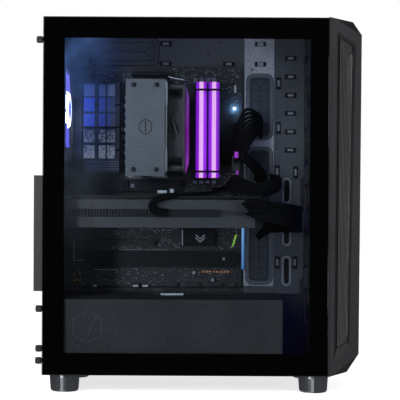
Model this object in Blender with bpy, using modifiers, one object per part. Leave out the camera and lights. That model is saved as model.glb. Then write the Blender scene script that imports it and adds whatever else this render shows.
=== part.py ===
"""Desktop computer tower. X runs rear to front, -Y is the glass side, Z is up. Lengths below are in millimetres."""

import math

import bmesh
import bpy
from mathutils import Vector

for old in list(bpy.data.objects):
    bpy.data.objects.remove(old, do_unlink=True)

MM = 0.001
GAP = 0.3
SHEET = 1.2

# The case
HALF_WIDTH = 108.0
HEIGHT = 480.0
FLOOR_Z = 22.0
REAR_X = -196.5
JOINT_X = 167.5
BEZEL_FRONT_X = 208.5
REAR_REACH = -208.5
GLASS_THICK = 4.0
FRAME_THICK = 2.0
WINDOW_X = (-169.0, 143.7)
WINDOW_Z = (50.8, 451.9)
INNER_LEFT = -101.4
INNER_RIGHT = 106.4
INNER_X = (REAR_X + SHEET + GAP, JOINT_X - 2 * GAP - SHEET)
LID_Z = HEIGHT - 0.2 - SHEET
TRAY_Y = 72.0
SHROUD_TOP = 119.0
SHROUD_X = (INNER_X[0] + 1.6, 109.0)
SHROUD_Y = -98.0

# The board
BOARD_X = (-184.0, 60.0)
BOARD_Z = (127.5, 432.3)
BOARD_FACE = 64.0
BOARD_THICK = 1.6
HOLES_X = (-174.0, -24.0, 49.6)
HOLES_Z = (140.0, 265.0, 420.0)
MEMORY_X = (3.8, 21.0)
SLOT_Z = (248.0, 187.0)

# The coolers and fans
CPU = (-66.75, 339.0)
FIN_X = (-92.0, -41.6)
FIN_Z = (277.0, 401.0)
FAN_DEEP = 25.0
FRONT_FAN_DEEP = 20.0
REAR_FAN = (-31.0, 365.0)
FRONT_FAN_Z = (111.0, 252.0, 393.0)
FRONT_FAN_Y = -10.0
CARD_X = (-190.0, 84.0)
CARD_Y = (-64.0, 52.0)
CARD_Z = (210.4, 246.8)
CARD_FANS_X = (-122.0, 8.0)
PSU_X = (INNER_X[0], -55.0)
PSU_Y = (-86.0, 64.0)
PSU_Z = (FLOOR_Z + SHEET + GAP, 109.5)

# The feet and screws
FOOT_X = (-169.6, 150.4)
FOOT_Y = 81.0
SCREW_Y = -96.5
PANEL_SCREW_Z = (40.4, 450.5)
PSU_SCREW_Z = (55.7, 106.5)

tower = bpy.data.collections.new("desktop_tower")
cutters = bpy.data.collections.new("cutters")
bpy.context.scene.collection.children.link(tower)
bpy.context.scene.collection.children.link(cutters)
cutters.hide_render = True


def grown(span, by):
    return (span[0] - by, span[1] + by)


def around(middle, width):
    return (middle - width / 2, middle + width / 2)


def box(x, y, z):
    corners = [Vector((a, b, c)) for a in x for b in y for c in z]
    sides = [(0, 1, 3, 2), (4, 6, 7, 5), (0, 4, 5, 1), (2, 3, 7, 6), (0, 2, 6, 4), (1, 5, 7, 3)]
    return [(corners, sides)]


def on_axis(axis, along, a, b):
    """A point from its place along one axis and its places on the other two, in order."""
    return Vector({"X": (along, a, b), "Y": (a, along, b), "Z": (a, b, along)}[axis])


def lofted(rings):
    """Joins rings of as many points each into one closed shape."""
    count = len(rings[0])
    points = [point for ring in rings for point in ring]
    faces = [tuple(range(count)), tuple(range(len(points) - count, len(points)))]
    for start in range(0, len(points) - count, count):
        for i in range(count):
            after = (i + 1) % count
            faces.append((start + i, start + after, start + count + after, start + count + i))
    return [(points, faces)]


def prism(axis, outline, span):
    return lofted([[on_axis(axis, along, a, b) for a, b in outline] for along in span])


def circle(centre, radius, sides=24):
    turns = [2 * math.pi * i / sides for i in range(sides)]
    return [(centre[0] + radius * math.cos(t), centre[1] + radius * math.sin(t)) for t in turns]


def rod(axis, centre, radius, span, sides=24):
    return prism(axis, circle(centre, radius, sides), span)


def rounded(a, b, radius, steps=4):
    """The outline of a rectangle with round corners."""
    turns = [math.pi / 2 * i / steps for i in range(steps + 1)]
    corners = [(a[1], b[1], 0), (a[0], b[1], 1), (a[0], b[0], 2), (a[1], b[0], 3)]
    outline = []
    for x, y, quarter in corners:
        middle = (x - radius * (1 if x == a[1] else -1), y - radius * (1 if y == b[1] else -1))
        for turn in turns:
            angle = turn + quarter * math.pi / 2
            outline.append((middle[0] + radius * math.cos(angle), middle[1] + radius * math.sin(angle)))
    return outline


def mesh_of(name, shapes):
    bm = bmesh.new()
    for points, faces in shapes:
        verts = [bm.verts.new(point * MM) for point in points]
        for face in faces:
            bm.faces.new([verts[i] for i in face])
    bmesh.ops.recalc_face_normals(bm, faces=bm.faces)
    mesh = bpy.data.meshes.new(name)
    bm.to_mesh(mesh)
    bm.free()
    return mesh


def material(name, colour, metallic, roughness):
    made = bpy.data.materials.new(name)
    made.use_nodes = True
    shader = made.node_tree.nodes["Principled BSDF"]
    shader.inputs["Base Color"].default_value = (*colour, 1)
    shader.inputs["Metallic"].default_value = metallic
    shader.inputs["Roughness"].default_value = roughness
    made.diffuse_color = (*colour, 1)
    return made


BLACK_STEEL = ((0.02, 0.021, 0.024), 0.3, 0.5)
BLACK_PLASTIC = ((0.018, 0.018, 0.02), 0.0, 0.45)
GREY_PLASTIC = ((0.05, 0.05, 0.055), 0.0, 0.5)
TINTED_GLASS = ((0.03, 0.035, 0.04), 0.0, 0.05)
BARE_METAL = ((0.5, 0.5, 0.52), 1.0, 0.35)
DARK_METAL = ((0.08, 0.08, 0.09), 0.8, 0.4)
CLEAR_PLASTIC = ((0.35, 0.4, 0.6), 0.0, 0.3)
BOARD_BLACK = ((0.01, 0.012, 0.014), 0.0, 0.4)
RUBBER = ((0.02, 0.02, 0.02), 0.0, 0.8)


def part(name, look, shapes, at=(0, 0, 0), turn=(0, 0, 0)):
    """One sub-part, with its origin at the given place. The shapes are in its own frame."""
    obj = bpy.data.objects.new(name, mesh_of(name, shapes))
    obj.data.materials.append(material(name, *look))
    obj.location = Vector(at) * MM
    obj.rotation_euler = turn
    tower.objects.link(obj)
    return obj


def apply_tool(target, shapes, operation, label):
    tool = bpy.data.objects.new(f"{target.name}_{label}", mesh_of(label, shapes))
    tool.location = target.location
    tool.rotation_euler = target.rotation_euler
    tool.display_type = "WIRE"
    tool.hide_render = True
    cutters.objects.link(tool)
    modifier = target.modifiers.new(label, "BOOLEAN")
    modifier.solver = "EXACT"
    modifier.operation = operation
    modifier.object = tool


def carve(target, shapes, label="cut"):
    apply_tool(target, shapes, "DIFFERENCE", label)


def weld(target, shapes, label="weld"):
    apply_tool(target, shapes, "UNION", label)


def ease(target, width, angle=40):
    """Rounds the sharp edges."""
    bevel = target.modifiers.new("eased edges", "BEVEL")
    bevel.width = width * MM
    bevel.segments = 2
    bevel.limit_method = "ANGLE"
    bevel.angle_limit = math.radians(angle)


def smooth(target):
    for face in target.data.polygons:
        face.use_smooth = True
    return target


FACE_REAR_TO_FRONT = (0, math.pi / 2, 0)
FACE_DOWN = (math.pi, 0, 0)


def turned(name, look, profile, at, turn=(0, 0, 0), sides=32):
    """A solid of revolution about its own Z, from a profile of (radius, height) pairs, top to bottom."""
    mesh = bpy.data.meshes.new(name)
    bm = bmesh.new()
    verts = [bm.verts.new(Vector((radius, 0, height)) * MM) for radius, height in profile]
    for first, second in zip(verts, verts[1:]):
        bm.edges.new((first, second))
    bm.to_mesh(mesh)
    bm.free()
    obj = bpy.data.objects.new(name, mesh)
    mesh.materials.append(material(name, *look))
    obj.location = Vector(at) * MM
    obj.rotation_euler = turn
    tower.objects.link(obj)
    screw = obj.modifiers.new("turned", "SCREW")
    screw.axis = "Z"
    screw.steps = sides
    screw.render_steps = sides
    screw.use_merge_vertices = True
    screw.merge_threshold = 0.00001
    screw.use_smooth_shade = True
    return obj


def blade(inner, outer, start, chord, low, high, lean, thick=1.6, steps=3):
    """One fan blade. It leans round as it goes out and rises from its low edge to its high edge."""
    rings = []
    for step in range(steps + 1):
        out = step / steps
        radius = inner + (outer - inner) * out
        turn = start + lean * out
        flat = 1 - 0.35 * out
        ends = []
        for angle, height in ((turn - chord / 2, low * flat), (turn + chord / 2, high * flat)):
            ends.append((radius * math.cos(angle), radius * math.sin(angle), height))
        (ax, ay, az), (bx, by, bz) = ends
        ring = [(ax, ay, az), (bx, by, bz), (bx, by, bz + thick), (ax, ay, az + thick)]
        rings.append([Vector(point) for point in ring])
    return lofted(rings)


def fan_frame(name, size, bore, at, deep=FAN_DEEP):
    """A square fan frame that blows along its own -Z, with its motor held by four arms on that side."""
    square = rounded(around(0, size), around(0, size), 8)
    frame = part(name, BLACK_PLASTIC, prism("Z", square, (0, deep)), at, FACE_REAR_TO_FRONT)
    holes = rod("Z", (0, 0), bore / 2, (-1, deep + 1), 48)
    reach = size / 2 - 7.5
    for x in (-reach, reach):
        for y in (-reach, reach):
            holes += rod("Z", (x, y), 2.2, (-1, deep + 1), 10)
    carve(frame, holes, "bore")
    arms = []
    for quarter in range(4):
        along = around(0, 5.0)
        out = (14.0, bore / 2 + 1.5)
        spans = [(out, along), (along, out), (tuple(-v for v in out[::-1]), along), (along, tuple(-v for v in out[::-1]))]
        arms += box(*spans[quarter], (0, 3.0))
    weld(frame, arms, "arms")
    weld(frame, rod("Z", (0, 0), 21.0, (0, 3.0), 32), "motor")
    return frame


def fan_rotor(name, look, radius, hub, at, turn, low, high, count=9, hub_span=(3.6, 23.5)):
    """A fan rotor, whose origin is on its axis."""
    rotor = part(name, look, rod("Z", (0, 0), hub, hub_span, 32), at, turn)
    blades = []
    for i in range(count):
        start = 2 * math.pi * i / count
        blades += blade(hub - 1.5, radius, start, 1.25 * math.pi / count, low, high, 0.35)
    weld(rotor, blades, "blades")
    return smooth(rotor)


# The steel case
left_right = (INNER_LEFT, INNER_RIGHT)
rear_span = (REAR_X, REAR_X + SHEET)
floor = part("chassis_floor", BLACK_STEEL, box(INNER_X, left_right, (FLOOR_Z, FLOOR_Z + SHEET)))
vents = []
for i in range(8):
    vents += box((-178, -72), around(-49 + 14 * i, 3.6), (FLOOR_Z - 1, FLOOR_Z + SHEET + 1))
carve(floor, vents, "vents")
for side in (-1, 1):
    wall = sorted((side * 58.6, side * 59.8))
    hook = sorted((side * 56.6, side * 59.8))
    weld(floor, box((-190, -50), wall, (19.6, FLOOR_Z + 0.4)), f"rail_{side}")
    weld(floor, box((-190, -50), hook, (18.8, 20.0)), f"hook_{side}")

rear = part("chassis_rear", BLACK_STEEL, box(rear_span, left_right, (FLOOR_Z, HEIGHT - 0.2)))
through = grown(rear_span, 2)
openings = box(through, (39.2, 66.4), (274, 426))
openings += box(through, (-80, 58), (29, 104))
for quarter in range(4):
    turns = [math.pi / 2 * quarter + math.radians(4 + 82 * i / 8) for i in range(9)]
    outline = [(REAR_FAN[0] + 65 * math.cos(t), REAR_FAN[1] + 65 * math.sin(t)) for t in turns]
    outline += [(REAR_FAN[0] + 24 * math.cos(t), REAR_FAN[1] + 24 * math.sin(t)) for t in turns[::-1]]
    openings += prism("X", outline, through)
for k in range(2):
    openings += box(through, (-45, 52), around(241.0 - 20.3 * k, 14))
for z in PSU_SCREW_Z:
    openings += rod("X", (SCREW_Y + 2, z), 2.3, through, 12)
for z in PANEL_SCREW_Z:
    for y, edge in ((SCREW_Y + 2.3, INNER_LEFT - 1), (HALF_WIDTH - 13.8, INNER_RIGHT + 1)):
        openings += box(through, sorted((y, edge)), around(z, 4.6))
carve(rear, openings, "openings")

lid = part("chassis_top", BLACK_STEEL, box(INNER_X, left_right, (LID_Z, LID_Z + SHEET)))
weld(lid, box((-176, 116), (-89, 89), (LID_Z - 1.2, LID_Z + 0.5)), "ledge")
pocket = box((-171, 111), (-84, 84), (LID_Z, LID_Z + 4))
carve(lid, pocket, "filter pocket")
carve(lid, box((-165, 105), (-78, 78), (LID_Z - 4, LID_Z + 4)), "vent")
BUTTON_X = 154.0
BUTTONS = {"power_button": (-72.0, 7.0), "reset_button": (-50.0, 4.0)}
PORTS_Y = (-18.0, 4.0)
holes = []
for y, radius in BUTTONS.values():
    holes += rod("Z", (BUTTON_X, y), radius + GAP, (LID_Z - 4, LID_Z + 4), 32)
for y in PORTS_Y:
    holes += box(around(BUTTON_X, 5.2), around(y, 12.6), (LID_Z - 4, LID_Z + 4))
holes += rod("Z", (BUTTON_X, 24), 2.4, (LID_Z - 4, LID_Z + 4), 16)
carve(lid, holes, "port holes")

front_sheet = box((JOINT_X - GAP - SHEET, JOINT_X - GAP), left_right, (FLOOR_Z, HEIGHT - 0.2))
front = part("chassis_front", BLACK_STEEL, front_sheet)
openings = []
for z in FRONT_FAN_Z:
    openings += rod("X", (FRONT_FAN_Y, z), 65, (JOINT_X - 5, JOINT_X + 5), 40)
PEGS = [(y, z) for y in (-92, 92) for z in (60, 440)]
for y, z in PEGS:
    openings += rod("X", (y, z), 3.3, (JOINT_X - 5, JOINT_X + 5), 16)
carve(front, openings, "openings")

tray_span = (TRAY_Y, TRAY_Y + SHEET)
tray = part("motherboard_tray", BLACK_STEEL, box(INNER_X, tray_span, (PSU_Z[0], LID_Z - 1.8)))
GROMMETS_Z = ((134.0, 218.0), (234.0, 318.5), (335.5, 420.0))
openings = box((-100, -35), grown(tray_span, 2), (300, 380))
for span in GROMMETS_Z:
    openings += prism("Y", rounded((69.5, 99.8), span, 8), grown(tray_span, 2))
openings += box((-48, 100), grown(tray_span, 2), (34, 100))
openings += box((-150, -62), grown(tray_span, 2), (441, 458))
carve(tray, openings, "openings")
standoffs = []
for x in HOLES_X:
    for z in HOLES_Z:
        standoffs += rod("Y", (x, z), 3.0, (BOARD_FACE + BOARD_THICK + GAP, TRAY_Y + 0.5), 12)
weld(tray, standoffs, "standoffs")

shroud_y = (SHROUD_Y, TRAY_Y - GAP)
corner = [(SHROUD_Y, PSU_Z[0]), (SHROUD_Y, SHROUD_TOP), (shroud_y[1], SHROUD_TOP), (shroud_y[1], SHROUD_TOP - SHEET)]
corner += [(SHROUD_Y + SHEET, SHROUD_TOP - SHEET), (SHROUD_Y + SHEET, PSU_Z[0])]
shroud = part("psu_shroud", GREY_PLASTIC, prism("X", corner, SHROUD_X))
vents = []
for i in range(9):
    vents += box((-180, -100), around(-72 + 15 * i, 3.6), (SHROUD_TOP - 4, SHROUD_TOP + 2))
vents += box((-80, 90), (46, 62), (SHROUD_TOP - 4, SHROUD_TOP + 2))
carve(shroud, vents, "vents")

# The side panels
glass_x = (REAR_X, JOINT_X - GAP)
glass_z = (FLOOR_Z + 1.2, HEIGHT - 1.4)
pane = part("glass_pane", TINTED_GLASS, box(glass_x, (-HALF_WIDTH, -HALF_WIDTH + GLASS_THICK), glass_z))
frame_y = (-HALF_WIDTH + GLASS_THICK + GAP, -HALF_WIDTH + GLASS_THICK + FRAME_THICK)
frame = part("glass_frame", BLACK_STEEL, box(grown(glass_x, -0.2), frame_y, grown(glass_z, -0.2)))
carve(frame, box(grown(WINDOW_X, 1), grown(frame_y, 2), grown(WINDOW_Z, 1)), "window")
for z in PANEL_SCREW_Z:
    ear_x = (INNER_X[0], INNER_X[0] + SHEET)
    weld(frame, box(ear_x, (frame_y[0] + 0.5, SCREW_Y + 5), around(z, 14)), f"ear_{z:.0f}")
    carve(frame, rod("X", (SCREW_Y, z), 2.1, grown(ear_x, 2), 12), f"hole_{z:.0f}")
right_y = (INNER_RIGHT + GAP, HALF_WIDTH)
right = part("right_panel", BLACK_STEEL, box(glass_x, right_y, (FLOOR_Z, HEIGHT - 0.2)))
for z in PANEL_SCREW_Z:
    y = HALF_WIDTH - 11.5
    weld(right, box(ear_x, (y - 5, right_y[0] + 0.5), around(z, 14)), f"ear_{z:.0f}")
    carve(right, rod("X", (y, z), 2.1, grown(ear_x, 2), 12), f"hole_{z:.0f}")

# The bezel: side faces cut off by sloping facets, so it is the hull of two profiles
SIDE = [(JOINT_X, 480.0), (173.5, 478.6), (BEZEL_FRONT_X, 456.8), (206.5, 52.0), (175.0, 25.0), (JOINT_X, 22.0)]
MIDDLE = [(JOINT_X, 480.0), (171.0, 480.0), (199.0, 475.5), (BEZEL_FRONT_X, 456.8), (206.5, 52.0),
          (193.0, 27.0), (JOINT_X, 22.0)]
FACET_Y = 90.0


def hull(points):
    bm = bmesh.new()
    for point in points:
        bm.verts.new(point)
    bmesh.ops.convex_hull(bm, input=bm.verts)
    bmesh.ops.dissolve_limit(bm, angle_limit=math.radians(0.2), verts=bm.verts, edges=bm.edges)
    bm.verts.ensure_lookup_table()
    shape = ([v.co.copy() for v in bm.verts], [tuple(v.index for v in f.verts) for f in bm.faces])
    bm.free()
    return [shape]


points = []
for sign in (-1, 1):
    points += [Vector((x, sign * HALF_WIDTH, z)) for x, z in SIDE]
    points += [Vector((x, sign * FACET_Y, z)) for x, z in MIDDLE]
bezel = part("bezel_shell", GREY_PLASTIC, hull(points))
inside = [(JOINT_X - 2, 474.0), (180.0, 473.0), (202.0, 452.0), (200.5, 56.0), (182.0, 31.0), (JOINT_X - 2, 29.0)]
carve(bezel, prism("Y", inside, (-102.5, 102.5)), "hollow")


def front_line(z, back):
    """The front face leans: this gives X on it, moved back by some depth."""
    return 206.5 + (BEZEL_FRONT_X - 206.5) * (z - 52.0) / (456.8 - 52.0) - back


MESH_Z = (62.0, 446.0)
MESH_Y = 86.0
opening = [(front_line(MESH_Z[0], -3), MESH_Z[0]), (front_line(MESH_Z[1], -3), MESH_Z[1])]
opening += [(front_line(MESH_Z[1], 14), MESH_Z[1]), (front_line(MESH_Z[0], 14), MESH_Z[0])]
carve(bezel, prism("Y", opening, (-MESH_Y, MESH_Y)), "front opening")
OUTER_RECESS = [(177.3, 462.4), (201.4, 445.3), (195.1, 61.1), (174.8, 40.8)]
INNER_RECESS = [(180.5, 454.8), (197.0, 442.1), (191.9, 66.8), (178.6, 58.0)]


def toward(outline, middle, factor):
    return [(middle[0] + (a - middle[0]) * factor, middle[1] + (b - middle[1]) * factor) for a, b in outline]


for sign, label in ((-1, "left"), (1, "right")):
    rings = [[Vector((x, sign * (HALF_WIDTH + 0.6), z)) for x, z in toward(OUTER_RECESS, (187, 250), 1.01)]]
    rings.append([Vector((x, sign * (HALF_WIDTH - 4.2), z)) for x, z in INNER_RECESS])
    rings.append([Vector((x, sign * (HALF_WIDTH - 8), z)) for x, z in INNER_RECESS])
    carve(bezel, lofted(rings), f"recess_{label}")
    insert = [(181.0, 454.0), (196.4, 442.0), (191.4, 67.4), (179.1, 59.0)]
    span = sorted((sign * (HALF_WIDTH - 5.4), sign * (HALF_WIDTH - 4.4)))
    part(f"bezel_side_mesh_{label}", DARK_METAL, prism("Y", insert, span))
for y, z in PEGS:
    weld(bezel, box((JOINT_X - 5, 204), around(y, 4), around(z, 4)), f"peg_{y}_{z}")
sheet = [(front_line(z, back), z) for z, back in ((62.4, 1.5), (445.6, 1.5), (445.6, 3.0), (62.4, 3.0))]
part("bezel_front_mesh", DARK_METAL, prism("Y", sheet, (-MESH_Y + 0.4, MESH_Y - 0.4)))

# Filters, feet, buttons and ports
grid = part("top_dust_filter", BLACK_PLASTIC, box((-170.6, 110.6), (-83.6, 83.6), (LID_Z + GAP, LID_Z + SHEET)))
drawer = part("psu_dust_filter", BLACK_PLASTIC, box((-192, -48), (-58.2, 58.2), (20.4, FLOOR_Z - GAP)))
weld(drawer, box((-196, -191), (-20, 20), (15.5, FLOOR_Z - GAP)), "pull")
FOOT_TOP = FLOOR_Z - GAP
foot = [(0, FOOT_TOP), (19.25, FOOT_TOP), (19.25, FOOT_TOP - 3), (18.2, 4.0), (17.6, 1.6), (16.2, 0.4), (14.5, 0), (0, 0)]
for x, end in zip(FOOT_X, ("rear", "front")):
    for sign, side in ((-1, "left"), (1, "right")):
        turned(f"foot_{end}_{side}", BLACK_PLASTIC, foot, (x, sign * FOOT_Y, 0))
for name, (y, radius) in BUTTONS.items():
    top = LID_Z + SHEET + 0.1
    cap = [(0, top), (radius - 0.6, top), (radius, top - 0.6), (radius, LID_Z - 0.6), (radius + 2, LID_Z - 0.6)]
    cap += [(radius + 2, LID_Z - 2.4), (0, LID_Z - 2.4)]
    base = (BUTTON_X, y, LID_Z)
    turned(name, GREY_PLASTIC, [(r, z - LID_Z) for r, z in cap], base)
ports = part("front_port_module", BLACK_PLASTIC, box(around(BUTTON_X, 20), (-34, 36), (LID_Z - 13.5, LID_Z - GAP)))
sockets = []
for y in PORTS_Y:
    sockets += box(around(BUTTON_X, 5.2), around(y, 12.6), (LID_Z - 11.5, LID_Z + 2))
sockets += rod("Z", (BUTTON_X, 24), 2.2, (LID_Z - 12, LID_Z + 2), 16)
carve(ports, sockets, "sockets")
screw = [(0, 9.0), (3.6, 9.0), (4.5, 8.2), (4.5, 1.4), (3.6, 0.6), (1.8, 0.5), (1.8, -3.4), (0, -3.4)]
places = {
    "glass": (SCREW_Y, PANEL_SCREW_Z),
    "right": (HALF_WIDTH - 11.5, PANEL_SCREW_Z),
    "psu": (SCREW_Y + 2, PSU_SCREW_Z),
}
for use, (y, heights) in places.items():
    for z, end in zip(heights, ("bottom", "top")):
        turned(f"thumbscrew_{use}_{end}", DARK_METAL, screw, (REAR_X - GAP, y, z), (0, -math.pi / 2, 0), 24)

housing_x = (REAR_REACH, REAR_X - GAP)
housing = part("slot_cover", BLACK_STEEL, box(housing_x, (-98, -56), (129, 277)))
carve(housing, box((REAR_REACH + SHEET, REAR_X + 2), (-98 + SHEET, -56 - SHEET), (129 + SHEET, 277 - SHEET)), "hollow")

# The board and what is on it
board = part("motherboard", BOARD_BLACK, box(BOARD_X, (BOARD_FACE, BOARD_FACE + BOARD_THICK), BOARD_Z))
carve(board, [s for x in HOLES_X for z in HOLES_Z for s in rod("Y", (x, z), 2.0, (60, 70), 10)], "holes")
for i in range(4):
    x = MEMORY_X[0] + (i - 1) * 8.6
    span = (270.5, 414.0)
    weld(board, box(around(x, 6.4), (57.4, BOARD_FACE + 0.5), span), f"memory_slot_{i}")
    carve(board, box(around(x, 2.0), (50, 62.6), grown(span, -4)), f"memory_groove_{i}")
for i, z in enumerate(SLOT_Z):
    weld(board, box((-150, -60), (53.0, BOARD_FACE + 0.5), around(z, 7.4)), f"card_slot_{i}")
    carve(board, box((-147, -63), (50, 62.0), around(z, 2.2)), f"card_groove_{i}")
weld(board, box(around(CPU[0], 62), (56.4, BOARD_FACE + 0.5), around(CPU[1], 62)), "processor socket")
weld(board, box((46.0, 57.0), (52.0, BOARD_FACE + 0.5), (287, 339)), "power socket")
port_block = part("rear_port_block", DARK_METAL, box((-196.0, -160.0), (39.6, BOARD_FACE - GAP), (275, 425)))
sockets = []
for z in (287, 303, 340, 356):
    sockets += box((-200, -184), around(52, 13.0), around(z, 5.6))
sockets += box((-200, -184), around(52, 12.0), around(322, 11.0))
carve(port_block, sockets, "sockets")
rear_sink = part("vrm_heatsink_rear", DARK_METAL, box((-157, -108), (34.0, BOARD_FACE - GAP), (284, 408)))
grooves = []
for z in (314.5, 345.5, 376.5):
    grooves += box((-160, -105), (30, 54), around(z, 3))
carve(rear_sink, grooves, "grooves")
top_sink = part("vrm_heatsink_top", DARK_METAL, box((-92, -44), (37.0, BOARD_FACE - GAP), (409, 423)))
carve(top_sink, box((-94, -42), (30, 54), around(416, 3)), "groove")
chipset = part("chipset_heatsink", DARK_METAL, box((-22, 24), (51, BOARD_FACE - GAP), (185.0, 208.0)))
ease(chipset, 1.0)
drive_cover = prism("Y", rounded((-152, 56), (155.5, 176.5), 8), (55.0, BOARD_FACE - GAP))
drive_sink = part("m2_heatsink", DARK_METAL, drive_cover)
for x, label in zip(MEMORY_X, "ab"):
    across = around(x, 7.7)
    blade_x = around(x, 1.2)
    outline = [(across[0], 17), (across[1], 17), (across[1], 57), (blade_x[1], 57), (blade_x[1], 62.2)]
    outline += [(blade_x[0], 62.2), (blade_x[0], 57), (across[0], 57)]
    part(f"memory_module_{label}", GREY_PLASTIC, prism("Z", outline, (277, 407.6)))

# The processor cooler
comb = []
fins = 11
pitch = (37 + 92.2) / fins
for i in range(fins):
    y = -92.2 + pitch * i
    comb += [(FIN_X[1], y), (FIN_X[1], y + 2.0), (CPU[0] + 6, y + 2.0), (CPU[0] + 6, y + pitch)]
comb = comb[:-1]
mirrored = [(2 * CPU[0] - x, y) for x, y in comb[::-1]]
cooler = part("cooler_tower", BARE_METAL, prism("Z", comb + mirrored, FIN_Z))
weld(cooler, box(around(CPU[0], 40), (42, 56.1), around(CPU[1], 42)), "base")
pipes = []
for z in (CPU[1] - 42, CPU[1] - 14, CPU[1] + 14, CPU[1] + 42):
    pipes += rod("Y", (CPU[0], z), 3.0, (20, 47), 12)
weld(cooler, box(around(CPU[0], 20), (42, 48), around(CPU[1], 92)), "pipe bar")
weld(cooler, pipes, "pipes")
plate = part("cooler_top_plate", GREY_PLASTIC, prism("Y", rounded(FIN_X, FIN_Z, 2), (-96, -92.5)))
fan_frame("cpu_fan_frame", 120, 114, (FIN_X[1] + GAP, -23, 340))
fan_rotor("cpu_fan_rotor", CLEAR_PLASTIC, 56, 20, (FIN_X[1] + GAP, -23, 340), FACE_REAR_TO_FRONT, 4.5, 18)

# The graphics card
card_board = box((CARD_X[0] + 4, 40), (CARD_Y[0] + 8, CARD_Y[1]), around(CARD_Z[1] + 1.2, 1.6))
card = part("graphics_board", BOARD_BLACK, card_board)
weld(card, box((-140, -70), (CARD_Y[1] - 1, 61.5), around(CARD_Z[1] + 1.2, 1.6)), "edge connector")
cover = part("graphics_shroud", GREY_PLASTIC, box(CARD_X, CARD_Y, (CARD_Z[0], CARD_Z[1])))
wells = []
for x in CARD_FANS_X:
    wells += rod("Z", (x, -6), 49, (CARD_Z[0] - 2, CARD_Z[0] + 14), 40)
carve(cover, wells, "fan wells")
carve(cover, box((-150, 30), (CARD_Y[0] - 1, CARD_Y[0] + 5), (224.5, 233.5)), "fin groove")
back = part("graphics_backplate", DARK_METAL, box(CARD_X, CARD_Y, (CARD_Z[1] + 2.3, CARD_Z[1] + 5.3)))
carve(back, box((50, 76), (-50, 40), (CARD_Z[1], CARD_Z[1] + 8)), "air slot")
bracket = part("graphics_bracket", BARE_METAL, box((INNER_X[0], INNER_X[0] + 1.0), (-60, 54), (208, 254)))
slots = []
for i in range(6):
    slots += box((-198, -190), around(-40 + 15 * i, 9), around(220.5, 3.4))
carve(bracket, slots, "vents")
for x, end in zip(CARD_FANS_X, ("rear", "front")):
    fan_rotor(f"graphics_fan_{end}", BLACK_PLASTIC, 46.5, 18, (x, -6, CARD_Z[0] + 13), FACE_DOWN, 3.0, 10.0, 9, (1.0, 12.0))

# The case fans
place = (INNER_X[0], REAR_FAN[0], REAR_FAN[1])
fan_frame("rear_fan_frame", 140, 134, place)
fan_rotor("rear_fan_rotor", CLEAR_PLASTIC, 65.5, 22, place, FACE_REAR_TO_FRONT, 4.5, 19, 7, (3.6, 26.0))
for z, end in zip(FRONT_FAN_Z, ("bottom", "middle", "top")):
    place = (INNER_X[1] - GAP - FRONT_FAN_DEEP, FRONT_FAN_Y, z)
    fan_frame(f"front_fan_frame_{end}", 140, 134, place, FRONT_FAN_DEEP)
    fan_rotor(f"front_fan_rotor_{end}", CLEAR_PLASTIC, 65.0, 22, place, FACE_REAR_TO_FRONT, 5.5, 16, 7, (3.6, 19.0))

# The power supply
supply = part("power_supply", BLACK_STEEL, box(PSU_X, PSU_Y, PSU_Z))
PSU_FAN = (-124.0, -11.0)
carve(supply, box(grown(PSU_X, -1.5), grown(PSU_Y, -1.5), grown(PSU_Z, -1.5)), "hollow")
carve(supply, rod("Z", PSU_FAN, 62, (PSU_Z[0] - 2, PSU_Z[0] + 5), 40), "fan hole")
INLET = (30.0, 60.0)
SWITCH = (-5.0, 60.0)
weld(supply, box((PSU_X[0] + 0.5, PSU_X[0] + 18), (-14, 46), (48, 72)), "socket block")
carve(supply, box((PSU_X[0] - 2, PSU_X[0] + 16), around(INLET[0], 27), around(INLET[1], 20)), "inlet")
carve(supply, box((PSU_X[0] - 2, PSU_X[0] + 10), around(SWITCH[0], 13.6), around(SWITCH[1], 20)), "switch well")
fan_rotor("psu_fan_rotor", BLACK_PLASTIC, 58, 20, (*PSU_FAN, PSU_Z[0] + 21), FACE_DOWN, 4.0, 15, 9, (1.0, 19.0))
rocker = [(-3.0, -9.0), (0.4, -9.0), (-0.6, 0), (2.6, 9.0), (-3.0, 9.0), (-6.0, 0)]
rocker = [(-a, b) for a, b in rocker]
part("psu_switch", BLACK_PLASTIC, prism("Y", rocker, around(0, 12.8)), (PSU_X[0] + 1.5, SWITCH[0], SWITCH[1]))

# The cables


def cable(name, points, radius, plug):
    curve = bpy.data.curves.new(name, "CURVE")
    curve.dimensions = "3D"
    curve.bevel_depth = radius * MM
    curve.bevel_resolution = 2
    curve.use_fill_caps = True
    curve.resolution_u = 5
    spline = curve.splines.new("BEZIER")
    spline.bezier_points.add(len(points) - 1)
    for knot, point in zip(spline.bezier_points, points):
        knot.co = Vector(point) * MM
        knot.handle_left_type = "AUTO"
        knot.handle_right_type = "AUTO"
    guide = bpy.data.objects.new(f"{name}_guide", curve)
    cutters.objects.link(guide)
    bpy.context.view_layer.update()
    mesh = bpy.data.meshes.new_from_object(guide.evaluated_get(bpy.context.evaluated_depsgraph_get()))
    bm = bmesh.new()
    bm.from_mesh(mesh)
    bmesh.ops.remove_doubles(bm, verts=bm.verts, dist=0.000001)
    bmesh.ops.recalc_face_normals(bm, faces=bm.faces)
    bm.to_mesh(mesh)
    bm.free()
    bpy.data.objects.remove(guide, do_unlink=True)
    mesh.name = name
    mesh.materials.clear()
    mesh.materials.append(material(name, *RUBBER))
    obj = bpy.data.objects.new(name, mesh)
    tower.objects.link(obj)
    weld(obj, plug, "plug")
    return smooth(obj)


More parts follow.
